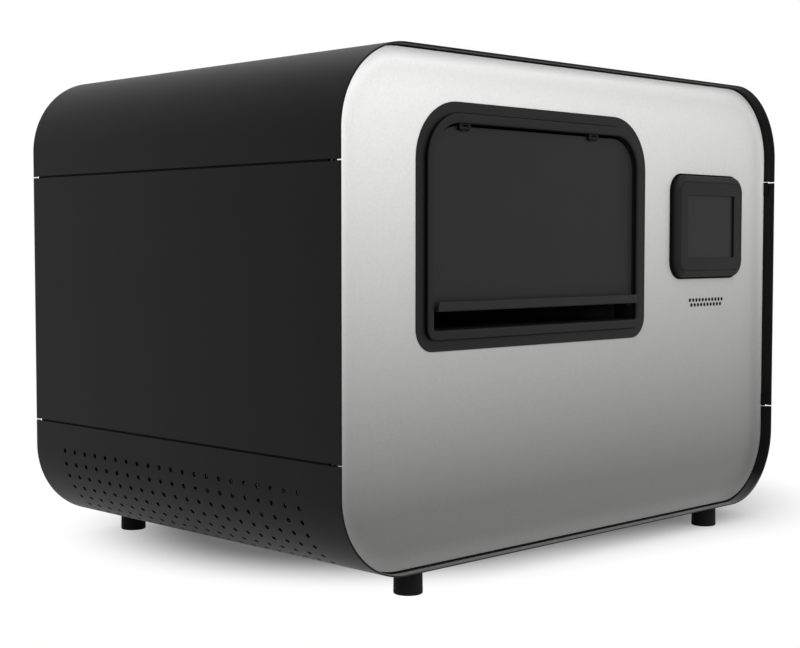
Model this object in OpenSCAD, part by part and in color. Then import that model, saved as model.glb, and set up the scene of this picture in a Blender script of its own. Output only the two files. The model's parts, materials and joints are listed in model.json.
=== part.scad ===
// Desktop braille embosser: sheet-steel shell, front window with a flap, pin feed and braille unit.
// Millimetres. X runs left to right, Y front to back, Z up. The origin is on the floor under the centre.

/* [Shell] */
// Width of the shell
body_w = 750; // [730:1:800]
// Depth of the shell from rim to rim
body_d = 538; // [530:1:580]
// Height of the shell without the feet
body_h = 520; // [515:1:560]
// Radius of the shell's four long edges
corner_r = 87.5; // [70:0.5:95]
// Thickness of the shell's sheet
sheet_t = 1.5; // [1.2:0.1:2]
// Thickness of the hemmed rim at both ends
hem_t = 2.2; // [2:0.1:2.4]
// Depth of the hemmed rim
hem_l = 7.5; // [6:0.5:9]
// Height of the lower seam above the shell's bottom
lower_seam = 117.5; // [100:0.5:130]
// Distance of the upper seam below the shell's top
upper_seam = 116.5; // [100:0.5:125]
// Width of both seams
seam_gap = 3; // [2:0.5:5]
// Width of the inner flanges that the end panels sit on
end_flange = 20; // [15:1:25]

/* [Vents] */
// Diameter of a vent hole
vent_d = 4.5; // [3:0.5:6]
// Vent holes along the shell
vent_cols = 21; // [10:1:21]
// Rows of vent holes round the lower edge
vent_rows = 9; // [4:1:9]
// Distance between vent holes along the shell
vent_pitch = 20.7; // [15:0.1:22]
// Angle between rows of vent holes
vent_step = 10; // [8:0.5:10]
// Angle of the first row below the side wall
vent_first = 1.5; // [0:0.5:3]

/* [Feet] */
// Height of the feet
foot_h = 25; // [15:1:40]
// Diameter of a foot at the floor
foot_d = 30; // [24:1:36]
// Distance of the feet from the shell's sides
foot_side = 114.2; // [110:0.2:135]
// Distance of the front feet from the front rim
foot_front = 25.5; // [22:0.5:50]
// Distance of the back feet from the rear rim
foot_back = 32.5; // [25:0.5:50]
// Diameter of the foot screws
foot_screw_d = 6; // [5:1:8]

/* [End panels] */
// Distance of the front panel behind the front rim
front_recess = 14.5; // [12:0.5:18]
// Distance of the rear panel inside the rear rim
rear_recess = 14; // [13:0.5:18]
// Thickness of the end panels
panel_t = 2; // [1.5:0.1:3]
// Distance of the end panels' edge inside the shell's outer face
panel_inset = 3; // [2.6:0.1:4]

/* [Window] */
// Distance of the window's centre from the middle
win_x = -72.5; // [-90:0.5:-60]
// Distance of the window's centre below the shell's top
win_down = 177; // [175:0.5:185]
// Width of the window's clear opening
win_w = 334; // [310:1:340]
// Height of the window's clear opening
win_h = 208; // [190:1:212]
// Radius of the opening's upper corners
win_top_r = 38; // [25:1:45]
// Radius of the opening's lower corners
win_low_r = 2; // [1.5:0.5:8]
// Width of the raised rim of the bezel
rim_w = 10; // [8:0.5:12]
// Height of the raised rim over the front panel
rim_h = 6; // [5:0.5:8]
// Width of the groove round the raised rim
groove_w = 1; // [0.8:0.1:2]
// Width of the bezel's flat flange
flange_w = 11; // [8:0.5:14]
// Thickness of the bezel's flat flange
flange_t = 1.2; // [1:0.1:2]
// Wall of the sleeve that passes through the front panel
sleeve_t = 3; // [2:0.5:4]
// Length of that sleeve behind the panel's front face
sleeve_l = 26; // [20:1:30]

/* [Flap] */
// Thickness of the flap
flap_t = 2; // [1.5:0.1:2.5]
// Gap between the flap's sides and the opening
flap_gap = 1; // [0.8:0.1:2]
// Gap above the flap
flap_top_gap = 2.6; // [2.5:0.1:4]
// Radius of the flap's upper corners
flap_r = 39; // [38:1:48]
// Height of the open slot under the flap
slot_h = 18.3; // [15:0.1:25]
// Distance of the finger lip's face in front of the flap
lip_out = 9.5; // [8:0.5:14]
// Height of the finger lip
lip_h = 10; // [8:0.5:14]
// Places of the two hinges, from the window's centre
hinge_x = [-120.5, 89.5]; // [-120.5:1:120.5]
// Diameter of the flap's hinge pins
flap_pin_d = 1.6; // [1.4:0.1:2]
// Distance of the hinge pins in front of the flap's face
flap_axis_out = 1.5; // [1.2:0.1:2]
// Outer diameter of the flap's hinge knuckles
flap_knuckle_d = 4; // [3.6:0.1:4.2]

/* [Display] */
// Distance of the display's centre from the middle
disp_x = 240.9; // [230:0.1:250]
// Distance of the display's centre below the shell's top
disp_down = 173.7; // [165:0.1:180]
// Width of the display bezel
disp_w = 148.7; // [140:0.1:155]
// Height of the display bezel
disp_h = 126.4; // [118:0.1:134]
// Radius of the bezel's corners
disp_r = 22; // [18:1:26]
// Height of the bezel's face over the front panel
disp_rise = 9.5; // [8:0.5:12]
// Width of the bevel round its face
disp_bevel = 9; // [6:0.5:11]
// Drop of the bevel
disp_drop = 3.5; // [2:0.5:5]
// Width of the screen's visible area
screen_w = 98; // [90:1:102]
// Height of the screen's visible area
screen_h = 75; // [68:1:80]
// Depth of the screen below the bezel's face
screen_sink = 2.5; // [1.5:0.5:3]

/* [Speaker] */
// Distance of the sound holes' centre from the middle
sound_x = 244.5; // [235:0.5:250]
// Distance of the sound holes' centre below the shell's top
sound_down = 265.7; // [260:0.1:275]
// Diameter of a sound hole
sound_d = 3.6; // [2:0.1:4]
// Distance between sound holes
sound_pitch = 6.84; // [5.5:0.01:7]
// Distance between the two rows
sound_row = 5.9; // [5:0.1:8]

/* [Frames] */
// Clear distance between the side frames
frame_gap = 343; // [342:1:350]
// Thickness of the side frames
frame_t = 5; // [4:0.5:6]
// Width of the side frames' bent edges
frame_edge = 18; // [14:1:22]
// Thickness of the base plate
base_t = 3; // [2:0.5:5]
// Distance of the base plate from the shell's sides
base_side = 90; // [87.5:0.5:95]
// Height of the rubber bumpers that carry the cover
bumper_h = 17.2; // [12:0.1:20]
// Diameter of the tie bars between the frames
tie_d = 12; // [10:1:16]

/* [Paper path] */
// Height of the paper above the window's opening
paper_rise = 3; // [2:0.5:6]
// Radius of the pin wheels at the paper
wheel_r = 20.2; // [18:0.1:21]
// Number of pins round a wheel
wheel_pins = 10; // [8:1:12]
// Diameter of the feed pins
feed_pin_d = 4; // [3:0.5:4]
// Distance of the pin wheels from the paper's centre line
wheel_x = 158; // [156:0.5:159]
// Diameter of the feed shaft
feed_d = 16; // [12:1:18]
// Distance of the feed shaft in front of the rear panel
feed_back = 31; // [30:1:33]
// Distance from the feed shaft to the braille unit
emboss_step = 57; // [54:1:60]
// Distance from the braille unit to the cutter
cutter_step = 42; // [40:1:46]
// Distance from the cutter to the exit rollers
exit_step = 24; // [24:1:28]
// Radius of the exit rollers
exit_r = 14; // [12:0.5:15]
// Diameter of the exit roller's shaft
exit_d = 10; // [8:1:12]
// Radius of the pinch rollers
pinch_r = 9; // [8:0.5:9.5]
// Diameter of the pinch roller's shaft
pinch_d = 8; // [6:1:8]

/* [Braille unit] */
// Number of braille cells in a line
cells = 42; // [30:1:46]
// Distance between cells
cell_pitch = 6; // [6:0.1:6.3]
// Distance between the two dots of a cell
dot_pitch = 2.5; // [2.3:0.1:2.6]
// Diameter of an embossing pin
pin_d = 1.5; // [1.2:0.1:1.6]
// Stroke of the embossing pins
pin_stroke = 3; // [2:0.5:3]
// Height of the die bar
die_h = 30; // [24:1:34]
// Number of solenoids
solenoids = 14; // [10:1:14]
// Diameter of a solenoid
solenoid_d = 18; // [14:1:18]
// Length of a solenoid
solenoid_l = 40; // [30:1:44]
// Stroke of the cutter blade
blade_stroke = 8; // [7:0.5:9]

/* [Drive] */
// Side of the feed motor
motor_w = 57; // [50:1:58]
// Length of the feed motor
motor_l = 76; // [60:1:80]
// Diameter of the motor's shaft
motor_shaft_d = 8; // [6:1:8]
// Radius of the motor's pulley
motor_pulley_r = 12; // [10:0.5:14]
// Radius of the feed shaft's pulley
feed_pulley_r = 23.1; // [20:0.1:24]
// Width of the timing belt
belt_w = 10; // [8:1:12]
// Thickness of the timing belt
belt_t = 1.6; // [1.4:0.1:2]
// Radius of the hand knob
knob_r = 20; // [16:1:22]

/* [Rear] */
// Distance of the fan's axis from the shell's right side
fan_side = 130; // [115:1:135]
// Distance of the fan's axis below the shell's top
fan_down = 215; // [200:1:230]
// Side of the fan
fan_w = 120; // [116:1:120]
// Thickness of the fan
fan_t = 25; // [25:1:38]
// Number of fan blades
fan_blades = 7; // [5:1:9]
// Distance of the power socket and switch from the shell's right side
power_side = 75; // [70:1:80]
// Distance of the power socket below the fan's axis
power_down = 145; // [135:1:155]
// Height of the switch over the power socket
switch_up = 42; // [38:1:44]
// Distance between the power socket and the data sockets
data_step = 85; // [80:1:95]
// Distance of the cover hinges from the shell's sides
cover_hinge_side = 145; // [125:1:175]
// Width of a cover hinge
cover_hinge_w = 70; // [60:1:90]
// Diameter of the cover hinge's knuckles
cover_knuckle_d = 9; // [8:0.1:9.4]
// Diameter of the cover hinge's pins
cover_pin_d = 4; // [3:0.5:4.5]

/* [Hidden] */
$fn = 64;

fit = 0.05;          // radial clearance of a shaft in its bush
gap = 0.3;           // clearance between pieces that pass each other
join = 0.5;          // how far the shapes of one piece reach into each other

// Main planes
z0 = foot_h;
z1 = foot_h + body_h;
yf = -body_d/2;
yr = body_d/2;
panel_y = yf + front_recess;
panel_in = panel_y + panel_t;
rear_y = yr - rear_recess;
rear_in = rear_y - panel_t;
seam_lo = z0 + lower_seam;
seam_hi = z1 - upper_seam;
foot_x = body_w/2 - foot_side;
win_z = z1 - win_down;
win_top = win_z + win_h/2;
win_low = win_z - win_h/2;
disp_z = z1 - disp_down;
sound_z = z1 - sound_down;
fan_x = body_w/2 - fan_side;
fan_z = z1 - fan_down;
power_x = body_w/2 - power_side;
power_z = fan_z - power_down;
switch_z = power_z + switch_up;
data_x = power_x - data_step;

// Lap lips of the side panels
lip_in = hem_t + gap;
lip_t = 1.5;
lip_reach = seam_gap + 10;
lip_root = 15;

// Frames
base_z = z0 + sheet_t;
base_top = base_z + base_t;
frame_y0 = panel_in + sheet_t + 1.5;
frame_y1 = rear_in - sheet_t - 1.5;
frame_top = z1 - sheet_t - gap - bumper_h;
left_in = win_x - frame_gap/2;
right_in = win_x + frame_gap/2;
left_out = left_in - frame_t;
right_out = right_in + frame_t;

// Paper path
paper_z = win_top + paper_rise;
feed_y = rear_in - feed_back;
feed_z = paper_z - wheel_r;
emboss_y = feed_y - emboss_step;
cutter_y = emboss_y - cutter_step;
exit_y = cutter_y - exit_step;
exit_z = paper_z - exit_r;
pinch_z = paper_z + 0.6 + pinch_r;
bin_back = exit_y - exit_r - 8;
bin_floor = win_low - 1.5;
motor_y = feed_y - 22;
motor_z = paper_z - 145;
motor_hole = 23.57;
bush_wall = 3.5;
wheel_t = 10;
feed_pin_l = 4.5;
lid_pivot_y = feed_y + 19;
lid_pivot_z = paper_z + 15;
lid_pin_d = 6;

// Belt drive
exit_pulley_r = feed_pulley_r*exit_r/wheel_r;
pulley_x0 = right_out + 6;
pulley_w = belt_w + 2;
pulley_flange = 1.2;
belt_pitch = 5;
tooth_h = 1.2;

// Cover hinge
cover_axis_y = yr - 7.5;
cover_axis_z = z1 - hem_t - 1.3 - cover_knuckle_d/2;

// Flap in the window's own axes: x right, y up, z towards the front, from the panel's front face
flap_half = win_w/2 - flap_gap;
flap_high = win_h/2 - flap_top_gap;
flap_low = -win_h/2 + slot_h;
flap_front = -0.5;
flap_axis_y = flap_high - 1.5;
flap_axis_z = flap_front + flap_axis_out;
knuckle_w = 8;
hinge_w = 16;

// Basic shapes
module box(a, b) translate(a) cube(b - a);

module rrect(w, h, r) {
  square([w - 2*r, h], center = true);
  square([w, h - 2*r], center = true);
  for (sx = [-1, 1], sy = [-1, 1]) translate([sx*(w/2 - r), sy*(h/2 - r)]) circle(r);
}

// A 2D shape in X and Z, extruded from y0 back to y1
module along(y0, y1) translate([0, y1, 0]) rotate([90, 0, 0]) linear_extrude(y1 - y0) children();

// A 2D shape in Y and Z, extruded from x0 to x1
module across(x0, x1) translate([x0, 0, 0]) rotate([90, 0, 90]) linear_extrude(x1 - x0) children();

module rod(x0, x1, y, z, d) translate([x0, y, z]) rotate([0, 90, 0]) cylinder(d = d, h = x1 - x0);

module tube(x0, x1, y, z, d, bore) difference() {
  rod(x0, x1, y, z, d);
  rod(x0 - 1, x1 + 1, y, z, bore);
}

// Places its children on the front panel
module on_front(x, z) translate([x, panel_y, z]) rotate([90, 0, 0]) children();

module both_sides() for (s = [0, 1]) mirror([s, 0, 0]) children();

// Shell outline in X and Z, moved inwards
module outline(inset)
  translate([0, z0 + body_h/2]) rrect(body_w - 2*inset, body_h - 2*inset, corner_r - inset);

// The part of the shell's wall between two heights
module wall(inset, t, low, high) intersection() {
  difference() {
    outline(inset);
    outline(inset + t);
  }
  translate([-body_w/2, low]) square([body_w, high - low]);
}

module shell(low, high) {
  along(yf, yr) wall(0, sheet_t, low, high);
  for (y = [yf, yr - hem_l]) along(y, y + hem_l) wall(0, hem_t, low, high);
}

// Shell pieces
module top_cover() color("#26272a") {
  low = seam_hi + seam_gap/2;
  rib_y = -120;
  rib_w = 30;
  rib_h = 10;
  rib_half = body_w/2 - corner_r - 20;
  shell(low, z1);
  difference() {
    box([-rib_half, rib_y, z1 - sheet_t - rib_h], [rib_half, rib_y + rib_w, z1 - sheet_t + join]);
    box([-rib_half - 1, rib_y + sheet_t, z1 - sheet_t - rib_h + sheet_t],
        [rib_half + 1, rib_y + rib_w - sheet_t, z1 - sheet_t]);
  }
}

// Lap lip behind a seam; dir is 1 above the panel and -1 below it
module lap_lip(y0, y1, edge, dir) {
  x = body_w/2;
  a = edge - dir*lip_root;
  b = edge + dir*lip_reach;
  c = edge - dir*3;
  box([x - lip_in - lip_t, y0, min(a, b)], [x - lip_in, y1, max(a, b)]);
  box([x - lip_in - join, y0, min(a, c)], [x - sheet_t + join, y1, max(a, c)]);
}

module side_panel() {
  low = seam_lo + seam_gap/2;
  high = seam_hi - seam_gap/2;
  x = body_w/2;
  box([x - sheet_t, yf, low], [x, yr, high]);
  for (y = [yf, yr - hem_l]) box([x - hem_t, y, low], [x, y + hem_l, high]);
  for (y = [panel_in, rear_in - sheet_t]) box([x - end_flange, y, low], [x - join, y + sheet_t, high]);
  for (e = [[low, -1], [high, 1]]) {
    lap_lip(yf + hem_l + 0.5, panel_y - gap, e[0], e[1]);
    lap_lip(panel_in + sheet_t + gap, rear_in - sheet_t - gap, e[0], e[1]);
  }
}

module left_side_panel() color("#26272a") mirror([1, 0, 0]) side_panel();

module right_side_panel() color("#26272a") side_panel();

module foot_places() for (sx = [-1, 1], y = [yf + foot_front, yr - foot_back]) translate([sx*foot_x, y, 0])
  children();

// Vent holes pointing outwards from the long edge's axis
module vents() for (row = [0:vent_rows - 1], col = [0:vent_cols - 1])
  translate([body_w/2 - corner_r, (col - (vent_cols - 1)/2)*vent_pitch, z0 + corner_r])
    rotate([0, 90 + vent_first + row*vent_step, 0])
      translate([0, 0, corner_r - 3*sheet_t]) cylinder(d = vent_d, h = 6*sheet_t, $fn = 24);

module bottom_tray() color("#26272a") {
  high = seam_lo - seam_gap/2;
  difference() {
    union() {
      shell(z0, high);
      for (y = [panel_in, rear_in - sheet_t]) along(y, y + sheet_t)
        wall(sheet_t - join, end_flange, z0, high);
    }
    both_sides() vents();
    foot_places() translate([0, 0, z0 - 1]) cylinder(d = foot_screw_d + 0.4, h = sheet_t + 2);
  }
}

// Window outline, grown outwards
module win_outline(grow) {
  rt = win_top_r + grow;
  rb = win_low_r + grow;
  w = win_w/2 + grow;
  h = win_h/2 + grow;
  translate([-w, -h + rb]) square([2*w, 2*h - rt - rb]);
  translate([-w + rt, h - rt]) square([2*(w - rt), rt]);
  translate([-w + rb, -h]) square([2*(w - rb), rb]);
  for (s = [-1, 1]) {
    translate([s*(w - rt), h - rt]) circle(rt);
    translate([s*(w - rb), -h + rb]) circle(rb);
  }
}

module sound_holes() for (row = [0, 1], i = [0:10 - row])
  translate([(i - 5 + row/2)*sound_pitch, (0.5 - row)*sound_row]) circle(d = sound_d, $fn = 24);

disp_box_w = screen_w + 14;
disp_box_h = screen_h + 14;
disp_wall = 3;

module front_panel() color("#c9cac8") along(panel_y, panel_in) difference() {
  outline(panel_inset);
  translate([win_x, win_z]) win_outline(sleeve_t + 0.4);
  translate([disp_x, disp_z]) square([disp_box_w + 0.8, disp_box_h + 0.8], center = true);
  translate([sound_x, sound_z]) sound_holes();
}

slot_half = frame_gap/2 - 6;
fan_bore = fan_w - 8;
inlet_w = 27;
inlet_h = 20;
switch_w = 22;
switch_h = 28;
port_w = 62;
port_h = 16;
screw_d = 4;

module rear_screw_places() for (sx = [-1, 1]) {
  for (z = [seam_lo + 40, (seam_lo + seam_hi)/2, seam_hi - 40])
    translate([sx*(body_w/2 - end_flange/2 - 1.5), rear_y, z]) children();
  for (x = [0.12, 0.3]) translate([sx*x*body_w, rear_y, z0 + end_flange/2 + 1.5]) children();
}

module rear_panel() color("#2c2d30") along(rear_in, rear_y) difference() {
  outline(panel_inset);
  translate([win_x - slot_half, paper_z - 2]) square([2*slot_half, 14]);
  translate([fan_x, fan_z]) circle(d = fan_bore);
  translate([power_x, power_z]) square([inlet_w, inlet_h], center = true);
  translate([power_x, switch_z]) square([switch_w, switch_h], center = true);
  translate([data_x, power_z]) square([port_w, port_h], center = true);
}

module panel_screws() color("#8d8f92") rear_screw_places()
  rotate([-90, 0, 0]) difference() {
    intersection() {
      cylinder(d = 2*screw_d, h = 2.4);
      translate([0, 0, -3.2]) sphere(5.6);
    }
    translate([0, 0, 1.2]) cylinder(d = 2.5, h = 3, $fn = 6);
  }

module feet() color("#141414") foot_places() difference() {
  union() {
    cylinder(d1 = foot_d - 1, d2 = foot_d, h = 1);
    translate([0, 0, 1]) cylinder(d1 = foot_d, d2 = foot_d - 1, h = foot_h - 1);
  }
  translate([0, 0, foot_h - 15]) cylinder(d = foot_screw_d, h = 16);
}

module foot_screws() color("#8d8f92") foot_places() {
  translate([0, 0, foot_h - 15]) cylinder(d = foot_screw_d, h = base_top - foot_h + 15 + join);
  translate([0, 0, base_top]) difference() {
    cylinder(d = 1.7*foot_screw_d, h = 4);
    translate([0, 0, 2]) cylinder(d = 5, h = 3, $fn = 6);
  }
}

// Window bezel, as a profile carried round the opening
module bezel_profile() {
  outer_r = 1.5;
  inner_r = 3;
  difference() {
    square([rim_w, rim_h]);
    translate([-1, rim_h - inner_r]) square(inner_r + 1);
    translate([rim_w - outer_r, rim_h - outer_r]) square(outer_r + 1);
  }
  translate([inner_r, rim_h - inner_r]) intersection() {
    circle(inner_r);
    translate([-inner_r, 0]) square(inner_r);
  }
  translate([rim_w - outer_r, rim_h - outer_r]) intersection() {
    circle(outer_r);
    square(outer_r);
  }
  translate([0, -sleeve_l]) square([sleeve_t, sleeve_l + join]);
  translate([sleeve_t, 0]) square([rim_w - sleeve_t + groove_w + join, flange_t/2]);
  translate([rim_w + groove_w, 0]) square([flange_w, flange_t]);
}

// Carries a profile round the opening: 2D x points away from the opening, 2D y to the front
module round_window() {
  for (a = [0, 180]) {
    lo = a == 0 ? win_low_r : win_top_r;
    hi = a == 0 ? win_top_r : win_low_r;
    rotate([0, 0, a]) translate([win_w/2, (lo - hi)/2, 0]) rotate([90, 0, 0])
      linear_extrude(win_h - lo - hi, center = true) children();
  }
  translate([0, win_h/2, 0]) rotate([90, 0, 90])
    linear_extrude(win_w - 2*win_top_r, center = true) children();
  translate([0, -win_h/2, 0]) rotate([90, 0, -90])
    linear_extrude(win_w - 2*win_low_r, center = true) children();
  both_sides() {
    translate([win_w/2 - win_top_r, win_h/2 - win_top_r, 0]) rotate_extrude(angle = 90)
      translate([win_top_r, 0]) children();
    translate([win_w/2 - win_low_r, -win_h/2 + win_low_r, 0]) rotate([0, 0, -90]) rotate_extrude(angle = 90)
      translate([win_low_r, 0]) children();
  }
}

stop_d = 6;
stop_l = 3;

// The nubs inside the sleeve stop the flap from swinging inwards
module window_bezel() color("#2b2c2e") on_front(win_x, win_z) {
  round_window() bezel_profile();
  both_sides() translate([win_w/2 - stop_l, flap_low - 1, flap_front - flap_t - gap - stop_d/2])
    rotate([0, 90, 0]) cylinder(d = stop_d, h = stop_l + join);
}

module flap_outline() difference() {
  union() {
    translate([-flap_half, flap_low]) square([2*flap_half, flap_high - flap_r - flap_low]);
    translate([-flap_half + flap_r, flap_high - flap_r - join])
      square([2*(flap_half - flap_r), flap_r + join]);
    for (s = [-1, 1]) translate([s*(flap_half - flap_r), flap_high - flap_r]) circle(flap_r);
  }
  for (x = hinge_x) translate([x - hinge_w/2 - 0.4, flap_axis_y - flap_knuckle_d/2 - 0.4])
    square([hinge_w + 0.8, flap_knuckle_d + 4]);
}

// Finger lip: a flange forwards and a face turned up, with a bend between them
module lip_profile() {
  bend_r = 2.5;
  back = flap_front - flap_t;
  front = flap_front + lip_out;
  translate([back, 0]) square([front - bend_r - back, flap_t]);
  translate([front - flap_t, bend_r]) square([flap_t, lip_h - bend_r]);
  translate([front - bend_r, bend_r]) intersection() {
    difference() {
      circle(bend_r);
      circle(bend_r - flap_t);
    }
    translate([0, -bend_r]) square(bend_r);
  }
}

module window_flap() color("#2f3032") on_front(win_x, win_z) difference() {
  lip_half = flap_half - 1;
  lip_r = 3;
  union() {
    translate([0, 0, flap_front - flap_t]) linear_extrude(flap_t) flap_outline();
    intersection() {
      translate([lip_half, flap_low, 0]) rotate([0, -90, 0]) linear_extrude(2*lip_half) lip_profile();
      translate([0, 0, -lip_out]) linear_extrude(3*lip_out) translate([0, flap_low]) {
        translate([-lip_half, -1]) square([2*lip_half, lip_h - lip_r + 1]);
        translate([-lip_half + lip_r, 0]) square([2*(lip_half - lip_r), lip_h]);
        for (s = [-1, 1]) translate([s*(lip_half - lip_r), lip_h - lip_r]) circle(lip_r);
      }
    }
    for (x = hinge_x) translate([x - knuckle_w/2, flap_axis_y, flap_axis_z]) {
      rotate([0, 90, 0]) cylinder(d = flap_knuckle_d, h = knuckle_w);
      translate([0, -flap_knuckle_d/2 - 1.4, -flap_axis_out - flap_t])
        cube([knuckle_w, flap_knuckle_d/2 + 1.4, flap_axis_out + flap_t]);
    }
  }
  for (x = hinge_x) translate([x - knuckle_w, flap_axis_y, flap_axis_z]) rotate([0, 90, 0])
    cylinder(d = flap_pin_d + 2*fit, h = 2*knuckle_w);
}

// Ears on both sides of the flap's knuckle, hung from the sleeve's upper wall
module flap_hinge_brackets() color("#232426") on_front(win_x, win_z) for (x = hinge_x) difference() {
  plate_t = 1.1;
  top = win_h/2;
  ear_w = (hinge_w - knuckle_w)/2 - gap;
  union() {
    translate([x - hinge_w/2, top - plate_t, flap_axis_z - 6]) cube([hinge_w, plate_t, 6 + flap_knuckle_d/2]);
    for (s = [-1, 1]) translate([x + s*(hinge_w - ear_w)/2, flap_axis_y, flap_axis_z]) {
      rotate([0, 90, 0]) cylinder(d = flap_knuckle_d, h = ear_w, center = true);
      translate([-ear_w/2, 0, -flap_knuckle_d/2])
        cube([ear_w, top - flap_axis_y - plate_t/2, flap_knuckle_d]);
    }
  }
  translate([x - hinge_w, flap_axis_y, flap_axis_z]) rotate([0, 90, 0])
    cylinder(d = flap_pin_d, h = 2*hinge_w);
}

module flap_hinge_pins() color("#9a9c9f") on_front(win_x, win_z) for (x = hinge_x)
  translate([x, flap_axis_y, flap_axis_z]) rotate([0, 90, 0])
    cylinder(d = flap_pin_d, h = hinge_w, center = true);

// Display
disp_pocket_w = screen_w + 8;
disp_pocket_h = screen_h + 8;
disp_box_l = 14;
screen_t = 3;
screen_front = disp_rise - screen_sink;

module display_bezel() color("#303133") on_front(disp_x, disp_z) difference() {
  face_w = disp_w - 2*disp_bevel;
  face_h = disp_h - 2*disp_bevel;
  face_r = disp_r - disp_bevel;
  side = disp_rise - disp_drop;
  union() {
    linear_extrude(side) rrect(disp_w, disp_h, disp_r);
    hull() {
      translate([0, 0, side - join]) linear_extrude(join) rrect(disp_w, disp_h, disp_r);
      translate([0, 0, disp_rise - disp_drop/6]) linear_extrude(disp_drop/6) rrect(face_w, face_h, face_r);
    }
    translate([0, 0, -disp_box_l]) linear_extrude(disp_box_l + join)
      square([disp_box_w, disp_box_h], center = true);
  }
  translate([0, 0, -disp_box_l - 1]) linear_extrude(disp_box_l + 1 + screen_front)
    square([disp_pocket_w, disp_pocket_h], center = true);
  linear_extrude(disp_rise + 1) square([screen_w, screen_h], center = true);
  translate([0, 0, disp_rise - 0.5]) linear_extrude(1) difference() {
    rrect(face_w - 1, face_h - 1, face_r - 0.5);
    rrect(face_w - 2.2, face_h - 2.2, face_r - 1.1);
  }
}

module display_screen() color("#34373b") on_front(disp_x, disp_z) translate([0, 0, screen_front - screen_t])
  linear_extrude(screen_t) square([disp_pocket_w - 2*gap, disp_pocket_h - 2*gap], center = true);

module display_board() color("#1f5a3a") on_front(disp_x, disp_z) {
  lcd_t = 3;
  board_t = 1.6;
  back = screen_front - screen_t - gap - lcd_t;
  translate([0, 0, back]) linear_extrude(lcd_t) square([screen_w, screen_h], center = true);
  translate([0, 0, back - board_t]) linear_extrude(board_t + join)
    square([disp_pocket_w - 2*gap, disp_pocket_h - 2*gap], center = true);
  for (p = [[-30, 18, 14], [8, 14, 20], [34, -16, 10]])
    translate([p[0], p[1], back - board_t - 2]) linear_extrude(2 + join) square(p[2], center = true);
  translate([-20, -disp_pocket_h/2 + 8, back - board_t - 6]) linear_extrude(6 + join)
    square([40, 6], center = true);
}

module speaker() color("#1b1b1c") translate([sound_x, panel_in, sound_z]) rotate([-90, 0, 0]) {
  plate_t = 1.5;
  difference() {
    linear_extrude(plate_t) rrect(12*sound_pitch, 30, 13);
    translate([0, 0, -1]) linear_extrude(plate_t + 2) rrect(10.6*sound_pitch, 21, 10);
  }
  translate([0, 0, plate_t]) difference() {
    linear_extrude(9) rrect(11.2*sound_pitch, 25, 12);
    translate([0, 0, -1]) linear_extrude(6) rrect(10.6*sound_pitch, 21, 10);
  }
  translate([0, 0, plate_t + 9 - join]) cylinder(d = 22, h = 8);
}

// Inner structure
module base_plate() color("#9ea1a3") difference() {
  half = body_w/2 - base_side;
  air_d = 40;
  air_x = [win_x - 2*air_d, win_x, right_out + 2*air_d];
  air_y = 3*air_d;
  box([-half, frame_y0, base_z], [half, frame_y1, base_top]);
  foot_places() translate([0, 0, base_z - 1]) cylinder(d = foot_screw_d + 0.4, h = base_t + 2);
  for (x = air_x, y = [-air_y, 0, air_y]) translate([x, y, base_z - 1]) cylinder(d = air_d, h = base_t + 2);
}

// Frame profile in Y and Z, with its bores and lightening holes
module frame_profile(motor) difference() {
  union() {
    translate([frame_y0, base_top]) square([frame_y1 - frame_y0, frame_top - base_top]);
    translate([panel_in, seam_lo + 60]) square([frame_y0 - panel_in + join, 160]);
  }
  translate([feed_y, feed_z]) circle(d = feed_d + 2*bush_wall);
  translate([exit_y, exit_z]) circle(d = exit_d + 2*bush_wall);
  translate([exit_y, pinch_z]) circle(d = pinch_d + 2*bush_wall);
  translate([lid_pivot_y, lid_pivot_z]) circle(d = lid_pin_d + 2*fit);
  for (p = tie_places) translate(p) circle(d = tie_d - 4);
  for (y = [frame_y0 + 55:90:frame_y1 - 100]) translate([y, base_top + 90]) circle(d = 60);
  if (motor) {
    translate([motor_y, motor_z]) circle(d = 38.4);
    for (sy = [-1, 1], sz = [-1, 1]) translate([motor_y + sy*motor_hole, motor_z + sz*motor_hole])
      circle(d = 5.2);
  }
}

// Tie bars in Y and Z
tie_places = [[frame_y0 + 20, bin_floor - 22], [bin_back + 14, bin_floor - 22],
  [frame_y1 - 20, bin_floor - 60], [frame_y0 + 40, paper_z + 30]];

module left_frame() color("#a9acae") difference() {
  union() {
    across(left_out, left_in) frame_profile(false);
    for (z = [base_top, frame_top - frame_t])
      box([left_out - frame_edge, frame_y0, z], [left_out + join, frame_y1, z + frame_t]);
  }
  foot_places() translate([0, 0, base_top - 1]) cylinder(d = 1.7*foot_screw_d + 3, h = frame_t + 2);
}

module right_frame() color("#a9acae") {
  across(right_in, right_out) frame_profile(true);
  for (z = [base_top, frame_top - frame_t])
    box([right_out - join, frame_y0, z], [right_out + frame_edge, frame_y1, z + frame_t]);
}

module tie_bars() color("#8d8f92") for (p = tie_places) {
  rod(left_in, right_in, p[0], p[1], tie_d);
  rod(left_out - 7, right_out + 7, p[0], p[1], tie_d - 4);
  for (x = [left_out - 6.5, right_out]) translate([x, p[0], p[1]]) rotate([0, 90, 0])
    cylinder(d = tie_d + 3, h = 6.5, $fn = 6);
}

module cover_bumpers() color("#141414") for (x = [left_out - frame_edge/2, right_out + frame_edge/2],
  y = [frame_y0 + 25, frame_y1 - 25]) translate([x, y, frame_top]) cylinder(d1 = 15, d2 = 12, h = bumper_h);

module stacker_tray() color("#3a3c3f") {
  t = 1.5;
  y0 = panel_y + sleeve_l + gap;
  difference() {
    box([left_in, y0, bin_floor - t], [right_in, bin_back + t, bin_floor]);
    translate([win_x, y0, bin_floor - t - 1]) cylinder(r = 32, h = t + 2);
  }
  box([left_in, bin_back, bin_floor - join], [right_in, bin_back + t, paper_z - 22]);
  for (x = [left_in, right_in - t])
    box([x, y0 + 20, bin_floor - 14], [x + t, bin_back, bin_floor - t + join]);
}

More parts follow.
